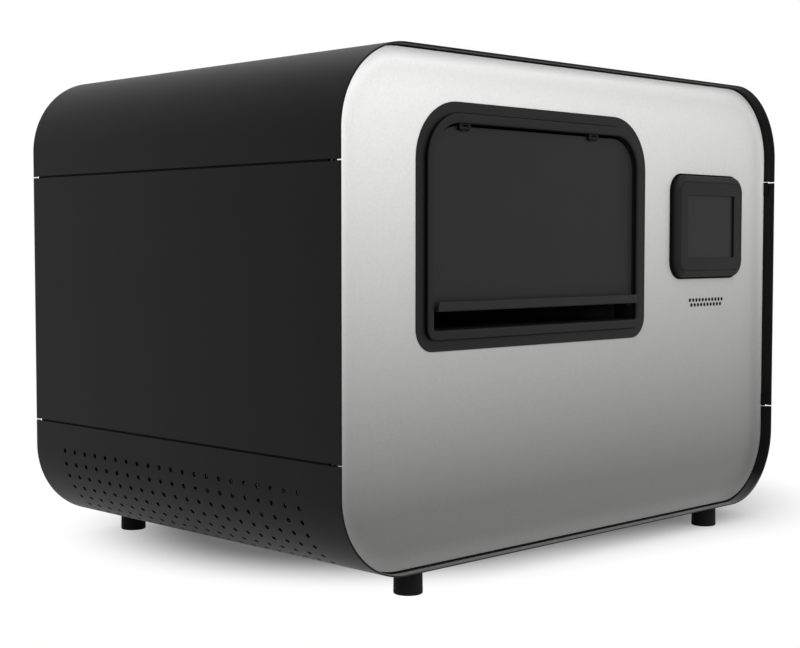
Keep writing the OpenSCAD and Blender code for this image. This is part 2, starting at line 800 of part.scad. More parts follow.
module inlet_table() color("#a9acae") {
  t = 1.5;
  top = paper_z - 0.5;
  y0 = feed_y - wheel_r - feed_pin_l - 11;
  inner = wheel_x - wheel_t/2 - 5;
  box([win_x - inner, y0, top - t], [win_x + inner, rear_y + 6, top]);
  box([left_in, y0, top - t], [right_in, y0 + 8, top]);
  translate([0, rear_y + 6, top - 6]) across(win_x - inner, win_x + inner) difference() {
    intersection() {
      circle(6);
      square(6);
    }
    circle(6 - t);
  }
}

// Paper feed
module feed_shaft() color("#c4c6c8") {
  rod(left_out - 10, pulley_x0 + pulley_w + 30, feed_y, feed_z, feed_d);
  rod(left_out - 7, left_out - 4, feed_y, feed_z, feed_d + 8);
}

module pin_wheels() color("#3f4246") for (s = [-1, 1]) {
  x = win_x + s*wheel_x;
  difference() {
    union() {
      rod(x - wheel_t/2, x + wheel_t/2, feed_y, feed_z, 2*wheel_r - 0.4);
      rod(x - s*wheel_t/2 - 6, x - s*wheel_t/2 + 6, feed_y, feed_z, feed_d + 10);
      for (a = [0:wheel_pins - 1]) translate([x, feed_y, feed_z]) rotate([a*360/wheel_pins, 0, 0]) {
        translate([0, 0, wheel_r - 2]) cylinder(d = feed_pin_d, h = 4, $fn = 24);
        translate([0, 0, wheel_r + 2])
          cylinder(d1 = feed_pin_d, d2 = feed_pin_d/2, h = feed_pin_l - 2, $fn = 24);
      }
    }
    rod(x - wheel_t*2, x + wheel_t*2, feed_y, feed_z, feed_d);
    for (a = [0:4]) translate([x - wheel_t, feed_y, feed_z]) rotate([a*72 + 36, 0, 0])
      translate([0, 0, feed_d/2 + 6.4]) rotate([0, 90, 0]) cylinder(d = 4, h = 2*wheel_t, $fn = 24);
  }
}

module feed_knob() color("#1c1c1d") {
  x0 = pulley_x0 + pulley_w + 6;
  difference() {
    union() {
      rod(x0, x0 + 26, feed_y, feed_z, 2*knob_r);
      rod(x0 - 4, x0 + join, feed_y, feed_z, feed_d + 8);
    }
    for (a = [0:11]) translate([x0 - 1, feed_y, feed_z]) rotate([a*30, 0, 0])
      translate([0, 0, knob_r + 1.5]) rotate([0, 90, 0]) cylinder(r = 3, h = 28, $fn = 24);
    rod(x0 - 5, x0 + 24, feed_y, feed_z, feed_d);
  }
}

// Flanged bush in a frame; dir is the side that its flange lies on
module bush(x_in, x_out, y, z, bore, wall) {
  dir = x_out > x_in ? 1 : -1;
  difference() {
    union() {
      rod(min(x_in, x_out), max(x_in, x_out), y, z, bore + 2*wall);
      rod(min(x_out, x_out + dir*2), max(x_out, x_out + dir*2), y, z, bore + 2*wall + 3);
    }
    rod(min(x_in, x_out) - 5, max(x_in, x_out) + 5, y, z, bore + 2*fit);
  }
}

module feed_bushes() color("#b08d4a") {
  bush(left_in, left_out, feed_y, feed_z, feed_d, bush_wall);
  bush(right_in, right_out, feed_y, feed_z, feed_d, bush_wall);
}

module roller_bushes() color("#b08d4a") for (r = [[exit_z, exit_d], [pinch_z, pinch_d]]) {
  bush(left_in, left_out, exit_y, r[0], r[1], bush_wall);
  bush(right_in, right_out, exit_y, r[0], r[1], bush_wall);
}

// Hinged lid over a pin wheel, seen from its left side; s is 1 towards the right frame
module feed_lid(s) {
  x = win_x + s*wheel_x;
  half = 9;
  low = paper_z + 1.6;
  front = feed_y - 24;
  difference() {
    union() {
      across(x - half, x + half) {
        translate([front, low]) square([lid_pivot_y - front, 6]);
        translate([front + 3, low + 6 - join]) square([10, 5]);
        translate([lid_pivot_y, lid_pivot_z]) circle(6);
        translate([lid_pivot_y - 6, low]) square([12, lid_pivot_z - low]);
      }
      rod(s > 0 ? x : left_out - 2, s > 0 ? right_out + 2 : x, lid_pivot_y, lid_pivot_z, lid_pin_d);
    }
    box([x - 3.5, feed_y - 16, low - 1], [x + 3.5, feed_y + 13, low + 16]);
  }
}

module feed_lid_left() color("#35373a") feed_lid(-1);

module feed_lid_right() color("#35373a") feed_lid(1);

// Braille unit
pin_row = cells*cell_pitch;
paper_gap = 2;         // between the paper's path and the plates on either side of it
pin_slot_w = 3;
guide_t = 11;
guide_half = 17;
guide_groove_w = 4;
guide_groove_side = 12.5;
comb_t = 5;
comb_room = 7;         // between the comb and the pin guide at the end of the stroke
guide_top = paper_z - paper_gap;
guide_low = guide_top - guide_t;
comb_low = guide_low - pin_stroke - comb_room;

module pin_slot(low, high) {
  box([win_x - pin_row/2 - 2, emboss_y - pin_slot_w/2, low],
      [win_x + pin_row/2 + 2, emboss_y + pin_slot_w/2, high]);
}

module die_bar() color("#b9bbbd") difference() {
  low = paper_z + paper_gap + 0.5;
  half = 15;
  chamfer = 5;
  screw_d = 7;
  screw_l = 12;
  screw_step = 65;
  across(left_in, right_in) polygon([[emboss_y - half, low + chamfer], [emboss_y - half + chamfer, low],
    [emboss_y + half - chamfer, low], [emboss_y + half, low + chamfer], [emboss_y + half, low + die_h],
    [emboss_y - half, low + die_h]]);
  pin_slot(low - 1, low + 1);
  for (i = [-2:2]) translate([win_x + i*screw_step, emboss_y, low + die_h - screw_l])
    cylinder(d = screw_d, h = screw_l + 1);
}

module pin_guide() color("#9ea1a3") difference() {
  box([left_in, emboss_y - guide_half, guide_low], [right_in, emboss_y + guide_half, guide_top]);
  pin_slot(guide_low - 1, guide_top + 1);
  for (s = [-1, 1]) translate([0, emboss_y + s*guide_groove_side, 0])
    box([left_in - 1, -guide_groove_w/2, guide_top - 3], [right_in + 1, guide_groove_w/2, guide_top + 1]);
}

module emboss_pins() color("#d0d2d4") {
  half = pin_row/2 + 1;
  top = comb_low + comb_t;
  box([win_x - half, emboss_y - comb_t, comb_low], [win_x + half, emboss_y + comb_t, top]);
  for (i = [0:cells - 1], s = [-1, 1])
    translate([win_x + (i - (cells - 1)/2)*cell_pitch + s*dot_pitch/2, emboss_y, top - join])
      cylinder(d = pin_d, h = guide_top + 0.5 - top + join, $fn = 16);
}

module solenoid_bank() color("#7a5a34") {
  bar_top = comb_low - gap - 5;
  bar_t = 6;
  bar_half = 25;
  box([left_in, emboss_y - bar_half, bar_top - bar_t], [right_in, emboss_y + bar_half, bar_top]);
  for (i = [0:solenoids - 1]) translate([win_x + (i - (solenoids - 1)/2)*(solenoid_d + 1), emboss_y, 0]) {
    translate([0, 0, bar_top - bar_t - solenoid_l]) cylinder(d = solenoid_d, h = solenoid_l + join, $fn = 32);
    translate([0, 0, bar_top - bar_t - solenoid_l - 3]) cylinder(d = solenoid_d/2, h = 3 + join, $fn = 32);
    translate([0, 0, bar_top - join]) cylinder(d = 5, h = 5 + join, $fn = 32);
  }
}

// Cutter
blade_t = 3;
blade_half = frame_gap/2 - 4;
blade_low = paper_z + 3;
blade_h = 30;
bed_top = paper_z - 2;
guide_w = 14;

module cutter_bed() color("#a9acae") difference() {
  box([left_in, cutter_y, bed_top - 18], [right_in, cutter_y + 10, bed_top]);
  box([left_in - 1, cutter_y + 6, bed_top - 2], [right_in + 1, cutter_y + 11, bed_top + 1]);
}

module cutter_blade() color("#d0d2d4") translate([win_x, cutter_y - gap, 0]) rotate([90, 0, 0])
  linear_extrude(blade_t) polygon([[-blade_half, blade_low + 5], [0, blade_low], [blade_half, blade_low + 5],
    [blade_half, blade_low + blade_h], [-blade_half, blade_low + blade_h]]);

module cutter_guides() color("#8d8f92") translate([win_x, 0, 0]) both_sides() difference() {
  y1 = cutter_y;
  y0 = y1 - blade_t - 2*gap;
  x1 = frame_gap/2;
  box([x1 - guide_w, y0 - 4, bed_top - 10], [x1, y1 + 4, blade_low + blade_h]);
  box([x1 - guide_w - 1, y0, bed_top - 11], [x1 - 4 + gap, y1, blade_low + blade_h + 1]);
  box([x1 - guide_w - 1, y1 - 1, bed_top - 11], [x1 + 1, y1 + 5, bed_top + join]);
}

module cutter_bridge() color("#8d8f92") {
  low = blade_low + blade_h + gap;
  mid = cutter_y - gap - blade_t/2;
  box([left_in, mid - 11, low], [right_in, mid + 11, low + 4]);
  for (s = [-1, 1]) translate([win_x + s*110, mid, low + 4 - join]) {
    cylinder(d = 18, h = 14 + join);
    cylinder(d = 8, h = 17 + join);
  }
}

// Exit rollers
module exit_roller() color("#c4c6c8") rod(left_out - 8, pulley_x0 + pulley_w + 4, exit_y, exit_z, exit_d);

tyre_step = 82;
tyre_w = 40;

module exit_tyres() color("#1c1c1d") for (i = [-1.5:1:1.5]) translate([win_x + i*tyre_step, 0, 0])
  tube(-tyre_w/2, tyre_w/2, exit_y, exit_z, 2*exit_r, exit_d);

module pinch_roller() color("#c4c6c8") {
  rod(left_out - 8, right_out + 8, exit_y, pinch_z, pinch_d);
  for (i = [-1.5:1:1.5]) translate([win_x + i*tyre_step, 0, 0])
    rod(2 - tyre_w/2, tyre_w/2 - 2, exit_y, pinch_z, 2*pinch_r);
}

// Drive
module feed_motor() color("#2a2b2d") {
  h = motor_w/2;
  c = 5;
  difference() {
    union() {
      across(right_in - 6, right_in) translate([motor_y, motor_z]) square(motor_w, center = true);
      across(right_in - motor_l, right_in - 5.5) translate([motor_y, motor_z])
        polygon([for (a = [0:90:270], p = [[h, c - h], [h, h - c]])
          [p[0]*cos(a) - p[1]*sin(a), p[0]*sin(a) + p[1]*cos(a)]]);
      rod(right_in - join, right_in + 1.6, motor_y, motor_z, 38.1);
    }
    for (sy = [-1, 1], sz = [-1, 1])
      rod(right_in - 7, right_in + 1, motor_y + sy*motor_hole, motor_z + sz*motor_hole, 5);
    rod(right_in - 22, right_in + 3, motor_y, motor_z, motor_shaft_d + 2*fit);
  }
}

// Outline of a toothed pulley in Y and Z, as teeth with sloping sides
module toothed(r) {
  teeth = round(2*PI*r/belt_pitch);
  step = 360/teeth;
  polygon([for (i = [0:teeth - 1], p = [[-0.34, 0], [0.06, 0], [0.2, -tooth_h], [0.52, -tooth_h]])
    (r + p[1])*[cos((i + p[0])*step), sin((i + p[0])*step)]]);
}

module pulley(y, z, r, bore) {
  x0 = pulley_x0;
  x1 = pulley_x0 + pulley_w;
  across(x0, x1) translate([y, z]) difference() {
    toothed(r);
    circle(d = bore);
  }
  for (x = [x0, x1 - 1]) tube(x, x + 1, y, z, 2*r + 2*pulley_flange, bore);
}

module feed_pulley() color("#8d8f92") pulley(feed_y, feed_z, feed_pulley_r, feed_d);

module exit_pulley() color("#8d8f92") pulley(exit_y, exit_z, exit_pulley_r, exit_d);

module motor_pulley() color("#8d8f92") {
  pulley(motor_y, motor_z, motor_pulley_r, motor_shaft_d - 1);
  rod(right_in - 20, pulley_x0 + pulley_w + 3, motor_y, motor_z, motor_shaft_d);
}

// Direction from a circle's centre to its point of contact with the belt, from circle a, [y, z, r], to b
function contact(a, b) =
  atan2(b[1] - a[1], b[0] - a[0]) - acos((a[2] - b[2])/norm([b[0] - a[0], b[1] - a[1]]));

function on_circle(c, angle) = [c[0] + c[2]*cos(angle), c[1] + c[2]*sin(angle)];

module belt_loop(grow) {
  round = [[motor_y, motor_z, motor_pulley_r + grow], [feed_y, feed_z, feed_pulley_r + grow],
    [exit_y, exit_z, exit_pulley_r + grow]];
  for (c = round) translate([c[0], c[1]]) circle(c[2]);
  polygon([for (i = [0:2], end = [0, 1])
    on_circle(round[(i + end) % 3], contact(round[i], round[(i + 1) % 3]))]);
}

module timing_belt() color("#161616") {
  x = pulley_x0 + (pulley_w - belt_w)/2 + 0.3;
  across(x, x + belt_w - 0.6) difference() {
    belt_loop(gap + belt_t);
    belt_loop(gap);
  }
}

// Electronics
module power_supply() color("#a9acae") {
  x = 135;
  w = 110;
  y = -60;
  l = 215;
  h = 50;
  difference() {
    box([x, y, base_top], [x + w, y + l, base_top + h]);
    box([x - 1, y - 1, base_top + 12], [x + w + 1, y + 18, base_top + h + 1]);
    for (i = [0:9], j = [0:4]) translate([x + 15 + j*20, y + 40 + i*17, base_top + h - 1.5])
      cylinder(d = 8, h = 3, $fn = 6);
  }
  for (i = [0:6]) box([x + 8 + i*14, y + 3, base_top + 12 - join], [x + 19 + i*14, y + 14, base_top + 22]);
}

// Circuit board upright on a frame's outer face; s is 1 to the right of the right frame
module board(s, face, y, z, l, h) {
  off = 8;
  t = 1.6;
  post = 6;
  can_d = 13;
  can_l = 18;
  sink = 44;
  fin_t = 2;
  fin_step = 5;
  chip = 26;
  edge = 14;
  a = face + s*off;
  b = face + s*(off + t);
  c = b - s*join;
  top = z + h - edge - post;
  box([min(a, b), y, z], [max(a, b), y + l, z + h]);
  for (py = [y + post, y + l - post], pz = [z + post, z + h - post])
    rod(min(face, a + s*join), max(face, a + s*join), py, pz, post);
  for (i = [0:3])
    rod(min(c, c + s*can_l), max(c, c + s*can_l), y + edge + can_d/2 + i*can_l, z + edge + post, can_d);
  box([min(c, c + s*can_d), y + l*0.55, z + edge], [max(c, c + s*can_d), y + l - edge, z + edge + can_l]);
  for (i = [0:8]) box([min(c, c + s*sink/2), y + edge + fin_t + i*fin_step, top - sink + fin_t],
    [max(c, c + s*sink/2), y + edge + 2*fin_t + i*fin_step, top - fin_t]);
  box([min(c, c + s*2*fin_t), y + edge, top - sink], [max(c, c + s*2*fin_t), y + edge + sink + fin_t, top]);
  box([min(c, c + s*fin_t), y + l/2, z + h/2 - chip/2],
    [max(c, c + s*fin_t), y + l/2 + chip, z + h/2 + chip/2]);
  box([min(c, c + s*off), y + l - 2*edge, z + h/2 + chip], [max(c, c + s*off), y + l - edge, z + h - edge]);
}

module main_board() color("#1f5a3a") {
  l = 180;
  h = 190;
  back = 40;
  board(1, right_out, frame_y0 + back, win_z - h/2 - 78, l, h);
}

module driver_board() color("#1f5a3a") {
  l = 230;
  h = 170;
  back = 110;
  board(-1, left_out, frame_y0 + back, win_z - h/2 - 128, l, h);
}

// Fan
fan_hub_d = 40;
fan_hole = 52.5;
fan_y0 = rear_in - fan_t;

module fan_frame() color("#1c1c1d") translate([fan_x, 0, fan_z]) difference() {
  union() {
    difference() {
      along(fan_y0, rear_in) rrect(fan_w, fan_w, 6);
      along(fan_y0 - 1, rear_in + 1) circle(d = fan_bore);
    }
    along(fan_y0, fan_y0 + 3) for (a = [0, 90]) rotate(a) square([fan_bore + 4, 6], center = true);
    along(fan_y0, fan_y0 + 7) circle(d = fan_hub_d - 4);
  }
  along(fan_y0 + 2, rear_in) circle(d = 3 + 2*fit);
  for (sx = [-1, 1], sz = [-1, 1]) translate([sx*fan_hole, 0, sz*fan_hole])
    along(fan_y0 - 1, rear_in + 1) circle(d = 4.4);
}

module fan_rotor() color("#242527") translate([fan_x, 0, fan_z]) {
  y0 = fan_y0 + 8;
  y1 = rear_in - 2;
  along(y0, y1) circle(d = fan_hub_d);
  along(fan_y0 + 2.3, y0 + join) circle(d = 3);
  for (a = [0:fan_blades - 1]) rotate([0, a*360/fan_blades, 0]) translate([0, (y0 + y1)/2, fan_hub_d/2 - 2])
    rotate([0, 0, 32]) translate([-11, -0.9, 0]) cube([22, 1.8, (fan_bore - fan_hub_d)/2 - 1]);
}

module fan_guard() color("#b5b7b9") translate([fan_x, rear_y + 1.5, fan_z]) rotate([-90, 0, 0]) {
  for (r = [16:10:56]) rotate_extrude() translate([r, 0]) circle(r = 1, $fn = 16);
  for (a = [45, 135]) rotate([0, 0, a]) rotate([0, 90, 0])
    cylinder(r = 1.2, h = 2*fan_hole*sqrt(2), center = true, $fn = 16);
  for (a = [45:90:315]) rotate([0, 0, a]) translate([fan_hole*sqrt(2), 0, -1.5]) cylinder(r = 4, h = 3);
}

// Power socket, switch and data sockets
module mains_inlet() color("#161616") translate([power_x, 0, power_z]) {
  difference() {
    union() {
      along(rear_y, rear_y + 2.5) rrect(50, 24, 4);
      along(rear_in - 18, rear_y + join) square([inlet_w - 0.4, inlet_h - 0.4], center = true);
    }
    along(rear_in - 14, rear_y + 3) polygon([[-11.5, -7.5], [11.5, -7.5], [11.5, 4], [8, 7.5], [-8, 7.5],
      [-11.5, 4]]);
    for (s = [-1, 1]) translate([s*20, 0, 0]) along(rear_y - 1, rear_y + 3) circle(d = 3.6);
  }
  for (p = [[-7, -2], [0, 2], [7, -2]]) translate([p[0], 0, p[1]]) along(rear_in - 15, rear_y - 3)
    square([2, 4], center = true);
}

rocker_tilt = 12;
rocker_y = rear_y;

module power_switch() color("#161616") translate([power_x, 0, switch_z]) difference() {
  union() {
    along(rear_y, rear_y + 2) rrect(switch_w + 8, switch_h + 4, 2);
    along(rear_in - 16, rear_y + join) square([switch_w - 0.4, switch_h - 0.4], center = true);
  }
  along(rear_y - 12, rear_y + 3) square([switch_w - 6, switch_h - 5], center = true);
  translate([-switch_w/2 + 1.5, rocker_y, 0]) rotate([0, 90, 0]) cylinder(d = 3 + 2*fit, h = switch_w - 3);
}

module switch_rocker() color("#222324") translate([power_x, rocker_y, switch_z])
  rotate([rocker_tilt, 0, 0]) {
    w = switch_w - 7;
    h = switch_h/2 - 4;
    translate([-w/2, 0, 0]) rotate([90, 0, 90]) linear_extrude(w)
      polygon([[-5, -6], [3, -h], [5, -h], [3, 0], [5, h], [3, h], [-5, 6]]);
    translate([-switch_w/2 + 1.8, 0, 0]) rotate([0, 90, 0]) cylinder(d = 3, h = switch_w - 3.6);
  }

module data_ports() color("#b5b7b9") translate([data_x, 0, power_z]) difference() {
  union() {
    along(rear_in - 20, rear_y + 1) square([port_w - 0.4, port_h - 0.4], center = true);
    along(rear_in - 1.6, rear_in) square([port_w + 8, port_h + 8], center = true);
  }
  translate([-20, 0, 0]) along(rear_y - 12, rear_y + 2) square([12, 11], center = true);
  translate([2, 0, 0]) along(rear_y - 9, rear_y + 2) difference() {
    square([9, 8], center = true);
    square([6, 3.4], center = true);
  }
  translate([21, 0, 0]) along(rear_y - 9, rear_y + 2) difference() {
    square([13, 5.4], center = true);
    translate([0, -1]) square([11, 1.8], center = true);
  }
}

// Cover hinges
hinge_mid = cover_hinge_w/3;
leaf_t = 2;

module hinge_places() for (s = [-1, 1]) translate([s*(body_w/2 - cover_hinge_side), 0, 0]) children();

module cover_hinge_leaves() color("#3a3c3f") hinge_places() difference() {
  half = cover_hinge_w/2;
  union() {
    box([-half, rear_y, cover_axis_z - 30], [half, rear_y + leaf_t, cover_axis_z - cover_knuckle_d/2 - 1]);
    for (a = [-half, hinge_mid/2 + gap/2]) {
      rod(a, a + half - hinge_mid/2 - gap/2, cover_axis_y, cover_axis_z, cover_knuckle_d);
      box([a, rear_y, cover_axis_z - cover_knuckle_d/2 - 2],
          [a + half - hinge_mid/2 - gap/2, cover_axis_y, cover_axis_z]);
    }
  }
  rod(-half - 1, half + 1, cover_axis_y, cover_axis_z, cover_pin_d);
}

module cover_hinge_lid_leaves() color("#3a3c3f") hinge_places() difference() {
  half = hinge_mid/2 - gap/2;
  top = z1 - hem_t;
  union() {
    rod(-half, half, cover_axis_y, cover_axis_z, cover_knuckle_d);
    box([-half, cover_axis_y, cover_axis_z], [half, cover_axis_y + cover_knuckle_d/2, top - 1]);
    box([-cover_hinge_w/2, cover_axis_y, top - 1.1], [cover_hinge_w/2, yr - 1, top]);
  }
  rod(-half - 1, half + 1, cover_axis_y, cover_axis_z, cover_pin_d + 2*fit);
}

module cover_hinge_pins() color("#9a9c9f") hinge_places()
  rod(-cover_hinge_w/2, cover_hinge_w/2, cover_axis_y, cover_axis_z, cover_pin_d);

top_cover();
left_side_panel();
right_side_panel();
bottom_tray();
front_panel();
rear_panel();
window_bezel();
window_flap();
flap_hinge_brackets();
flap_hinge_pins();
display_bezel();
display_screen();
display_board();
speaker();
feet();
foot_screws();
base_plate();
left_frame();
right_frame();
tie_bars();
cover_bumpers();
stacker_tray();
inlet_table();
feed_shaft();
pin_wheels();
feed_knob();
feed_bushes();
feed_lid_left();
feed_lid_right();
die_bar();
pin_guide();
emboss_pins();
solenoid_bank();
cutter_bed();
cutter_blade();
cutter_guides();
cutter_bridge();
exit_roller();
exit_tyres();
pinch_roller();
roller_bushes();
feed_motor();
motor_pulley();
feed_pulley();
exit_pulley();
timing_belt();
power_supply();
main_board();
driver_board();
fan_frame();
fan_rotor();
fan_guard();
mains_inlet();
power_switch();
switch_rocker();
data_ports();
cover_hinge_leaves();
cover_hinge_lid_leaves();
cover_hinge_pins();
panel_screws();
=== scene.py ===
"""Looks of a desktop braille embosser: every visible surface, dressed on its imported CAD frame."""

import json

import bmesh
import bpy
import numpy as np
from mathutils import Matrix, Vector

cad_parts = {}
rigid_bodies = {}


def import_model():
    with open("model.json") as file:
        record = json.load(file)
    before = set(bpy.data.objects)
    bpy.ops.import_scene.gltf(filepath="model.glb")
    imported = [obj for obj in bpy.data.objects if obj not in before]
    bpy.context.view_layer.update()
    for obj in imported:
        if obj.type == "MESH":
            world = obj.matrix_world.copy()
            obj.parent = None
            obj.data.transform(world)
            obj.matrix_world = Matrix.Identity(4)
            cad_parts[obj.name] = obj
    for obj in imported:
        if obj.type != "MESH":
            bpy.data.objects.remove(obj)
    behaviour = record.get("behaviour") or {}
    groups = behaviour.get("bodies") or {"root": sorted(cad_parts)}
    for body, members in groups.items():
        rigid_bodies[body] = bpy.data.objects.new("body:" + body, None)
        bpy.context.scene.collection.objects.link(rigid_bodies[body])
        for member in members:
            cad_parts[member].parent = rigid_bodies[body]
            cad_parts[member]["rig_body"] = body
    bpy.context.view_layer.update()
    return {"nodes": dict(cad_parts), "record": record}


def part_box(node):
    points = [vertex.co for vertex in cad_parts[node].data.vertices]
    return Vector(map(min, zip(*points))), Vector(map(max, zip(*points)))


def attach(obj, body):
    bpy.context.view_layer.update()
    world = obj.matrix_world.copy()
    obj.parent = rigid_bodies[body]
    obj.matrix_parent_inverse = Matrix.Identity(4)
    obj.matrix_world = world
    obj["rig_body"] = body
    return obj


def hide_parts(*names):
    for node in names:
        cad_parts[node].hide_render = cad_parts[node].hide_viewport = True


bl_info = {
    "name": "Braille embosser",
    "version": (1, 0, 0),
    "blender": (4, 5, 0),
    "location": "3D View > Sidebar > Embosser",
    "description": "Builds the shell, window, display and working parts of a braille embosser",
    "category": "Object",
}

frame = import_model()
NODES = frame["nodes"]
TRAY_LOW, TRAY_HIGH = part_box("bottom_tray")
COVER_LOW, COVER_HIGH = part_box("top_cover")
SIDE_LOW, SIDE_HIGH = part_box("right_side_panel")
PANEL_LOW, PANEL_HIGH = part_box("front_panel")
REAR_LOW, REAR_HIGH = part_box("rear_panel")
BEZEL_LOW, BEZEL_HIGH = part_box("window_bezel")
DISPLAY_LOW, DISPLAY_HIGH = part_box("display_bezel")
MM = 0.001


def number(name, description, default, high=1.0, low=0.0, **options):
    return bpy.props.FloatProperty(name=name, description=description, default=default, min=low, max=high, **options)


def length(name, description, millimetres):
    """A length property, given here in millimetres."""
    return number(name, description, millimetres * MM, 2.0, unit="LENGTH", precision=4)


def whole(name, description, most):
    return bpy.props.IntProperty(name=name, description=description, default=most, min=1, max=most)


def vector(name, description, default, **options):
    return bpy.props.FloatVectorProperty(name=name, description=description, default=default, size=3, **options)


def colour(name, description, default):
    return vector(name, description, default, min=0.0, max=1.0, subtype="COLOR")


class ShellSettings(bpy.types.PropertyGroup):
    corner: length("Corner radius", "Radius of the four long edges of the shell", 87.5)
    sheet: length("Sheet", "Thickness of the sheet metal", 1.5)
    hem: length("Hem thickness", "Thickness of the folded rims at both ends", 2.2)
    hem_length: length("Hem length", "Depth of the folded rims", 7.5)
    hem_bulge: length("Hem bulge", "How far the fold of a rim swells into the seam", 0.5)
    seam: length("Seam", "Width of the seams over and under the side sheets in the CAD model", 3.0)
    painted_seam: length("Painted seam", "Visible width of the seams between the painted edges", 2.2)
    cut_edge: length("Cut edge", "Rounding of the sheet's cut edges under the paint", 0.45)
    vent_diameter: length("Vent diameter", "Diameter of an air hole inside its rounded edge", 5.3)
    vent_pitch: length("Vent pitch", "Distance between air holes along the shell", 20.7)
    vent_columns: whole("Vent columns", "Air holes along the shell", 21)
    vent_rows: whole("Vent rows", "Rows of air holes round a lower edge", 9)
    paint: colour("Paint", "Colour of the powder coat", (0.0068, 0.0069, 0.0071))
    gloss: number("Paint roughness", "Roughness of the powder coat", 0.46)


class PanelSettings(bpy.types.PropertyGroup):
    # Painted reflection and shade: the satin silver is lightest at the upper left, a little darker at the upper right
    # and darkest at the lower edge.
    painted_light_upper_left: colour("Upper left colour", "Satin silver at the upper left corner", (0.862, 0.862, 0.855))
    painted_light_upper_right: colour("Upper right colour", "Satin silver at the upper right corner", (0.640, 0.640, 0.634))
    painted_shade_lower: colour("Lower colour", "Satin silver at the lower edge", (0.162, 0.162, 0.160))
    # Dark sheet at the cut edges and back, which also paints the shade inside the sound holes, and the colour of the
    # painted shade disc round each hole.
    dark_edge_and_hole_shade: colour("Edge colour", "Cut edges and back of the sheet", (0.003, 0.003, 0.003))
    holes_x: length("Sound holes across", "Middle of the sound holes", 244.5)
    holes_z: length("Sound holes up", "Height of the sound holes' middle over the floor", 279.3)
    hole_pitch: length("Hole pitch", "Distance between sound holes", 6.84)
    hole_row: length("Row distance", "Distance between the two rows", 5.9)
    # Painted shade: radius of the dark disc painted round each sound hole.
    hole_shade_radius: length("Hole edge", "Radius of the dark edge round a sound hole", 2.4)
    roughness: number("Roughness", "Roughness of the satin finish", 0.36)


class WindowSettings(bpy.types.PropertyGroup):
    rim_width: length("Rim width", "Width of the raised rim", 10.0)
    rim_height: length("Rim height", "Height of the raised rim over the panel", 6.0)
    groove: length("Groove", "Width of the groove beside the raised rim", 1.0)
    flange: length("Flange", "Width of the flat flange", 11.0)
    flange_thickness: length("Flange thickness", "Thickness of the flat flange", 1.2)
    upper_radius: length("Upper radius", "Radius of the opening's upper corners", 38.0)
    lower_radius: length("Lower radius", "Radius of the opening's lower corners", 2.0)
    lip_out: length("Lip distance", "Distance of the finger lip in front of the flap", 9.5)
    lip_height: length("Lip height", "Height of the finger lip", 10.0)
    bezel_colour: colour("Bezel colour", "Moulded plastic of the window's bezel", (0.0095, 0.0096, 0.0098))
    flap_colour: colour("Flap colour", "Plastic of the flap", (0.0140, 0.0141, 0.0143))


class DisplaySettings(bpy.types.PropertyGroup):
    radius: length("Corner radius", "Radius of the display bezel's corners", 22.0)
    bevel: length("Bevel", "Width of the slope round the display's face", 9.0)
    drop: length("Drop", "Height of that slope", 3.5)
    gasket: length("Gasket", "Width of the dark gasket that shows round the base", 2.2)
    screen_width: length("Screen width", "Visible width of the screen", 98.0)
    screen_height: length("Screen height", "Visible height of the screen", 75.0)
    bezel_colour: colour("Bezel colour", "Moulded plastic round the screen", (0.0072, 0.0073, 0.0075))
    screen_colour: colour("Screen colour", "Glass of the screen when it is off", (0.0128, 0.0129, 0.0132))


class StageSettings(bpy.types.PropertyGroup):
    lens: number("Lens", "Focal length on a 36 mm sensor, in millimetres", 67.06, 200, 20)
    camera_at: vector("Camera", "Place of the camera", (-1.30695, -1.29272, 0.3505), subtype="TRANSLATION")
    camera_turn: vector("Camera turn", "Rotation of the camera", tuple(np.radians((86.92083, 0.0, -44.6026))),
                        subtype="EULER")
    ambient: number("Room light", "Strength of the even light from all sides", 0.50, 2)
    top: number("Top lamp", "Power of the lamp over the cover, in watts", 16.0, 500)
    key: number("Upper lamp", "Power of the large lamp above the front, in watts", 17.0, 500)
    front: number("Front lamp", "Power of the lamp before the front, in watts", 10.0, 500)
    floor_colour: colour("Floor", "Colour of the floor", (0.72, 0.72, 0.72))
    lift: number("Shadow lift", "Share of white that the floor's shadow keeps when it is seen directly", 0.143)
    shadow_at: vector("Shadow centre", "Middle of the floor's shadow", (0.139, 0.0464, 0.0), subtype="TRANSLATION")
    shadow_turn: number("Shadow turn", "Turn of the line from which the shadow fades", -0.134, np.pi, -np.pi,
                        subtype="ANGLE")
    shadow_half: length("Shadow half length", "Half length of that line", 165.4)
    shadow_start: length("Shadow start", "Distance from the line at which the shadow starts to fade", 213.2)
    shadow_fade: length("Shadow fade", "Distance over which the shadow fades into white", 172.7)


# Surfaces

def chain(*parts):
    return np.concatenate(parts)


def quarter_round(radius, count):
    """How far a quarter circle is from both of its sides: radius * (1 - sin t) and radius * (1 - cos t)."""
    t = np.linspace(0, np.pi / 2, count)
    return radius * (1 - np.sin(t)), radius * (1 - np.cos(t))


def directions(angles):
    return np.stack([np.cos(angles), np.sin(angles)], -1)


def unit(vectors):
    return vectors / np.maximum(np.linalg.norm(vectors, axis=-1, keepdims=True), 1e-12)


def level(line):
    """Points or directions of a flat line as ones in space."""
    return np.pad(line, ((0, 0), (0, 1)))


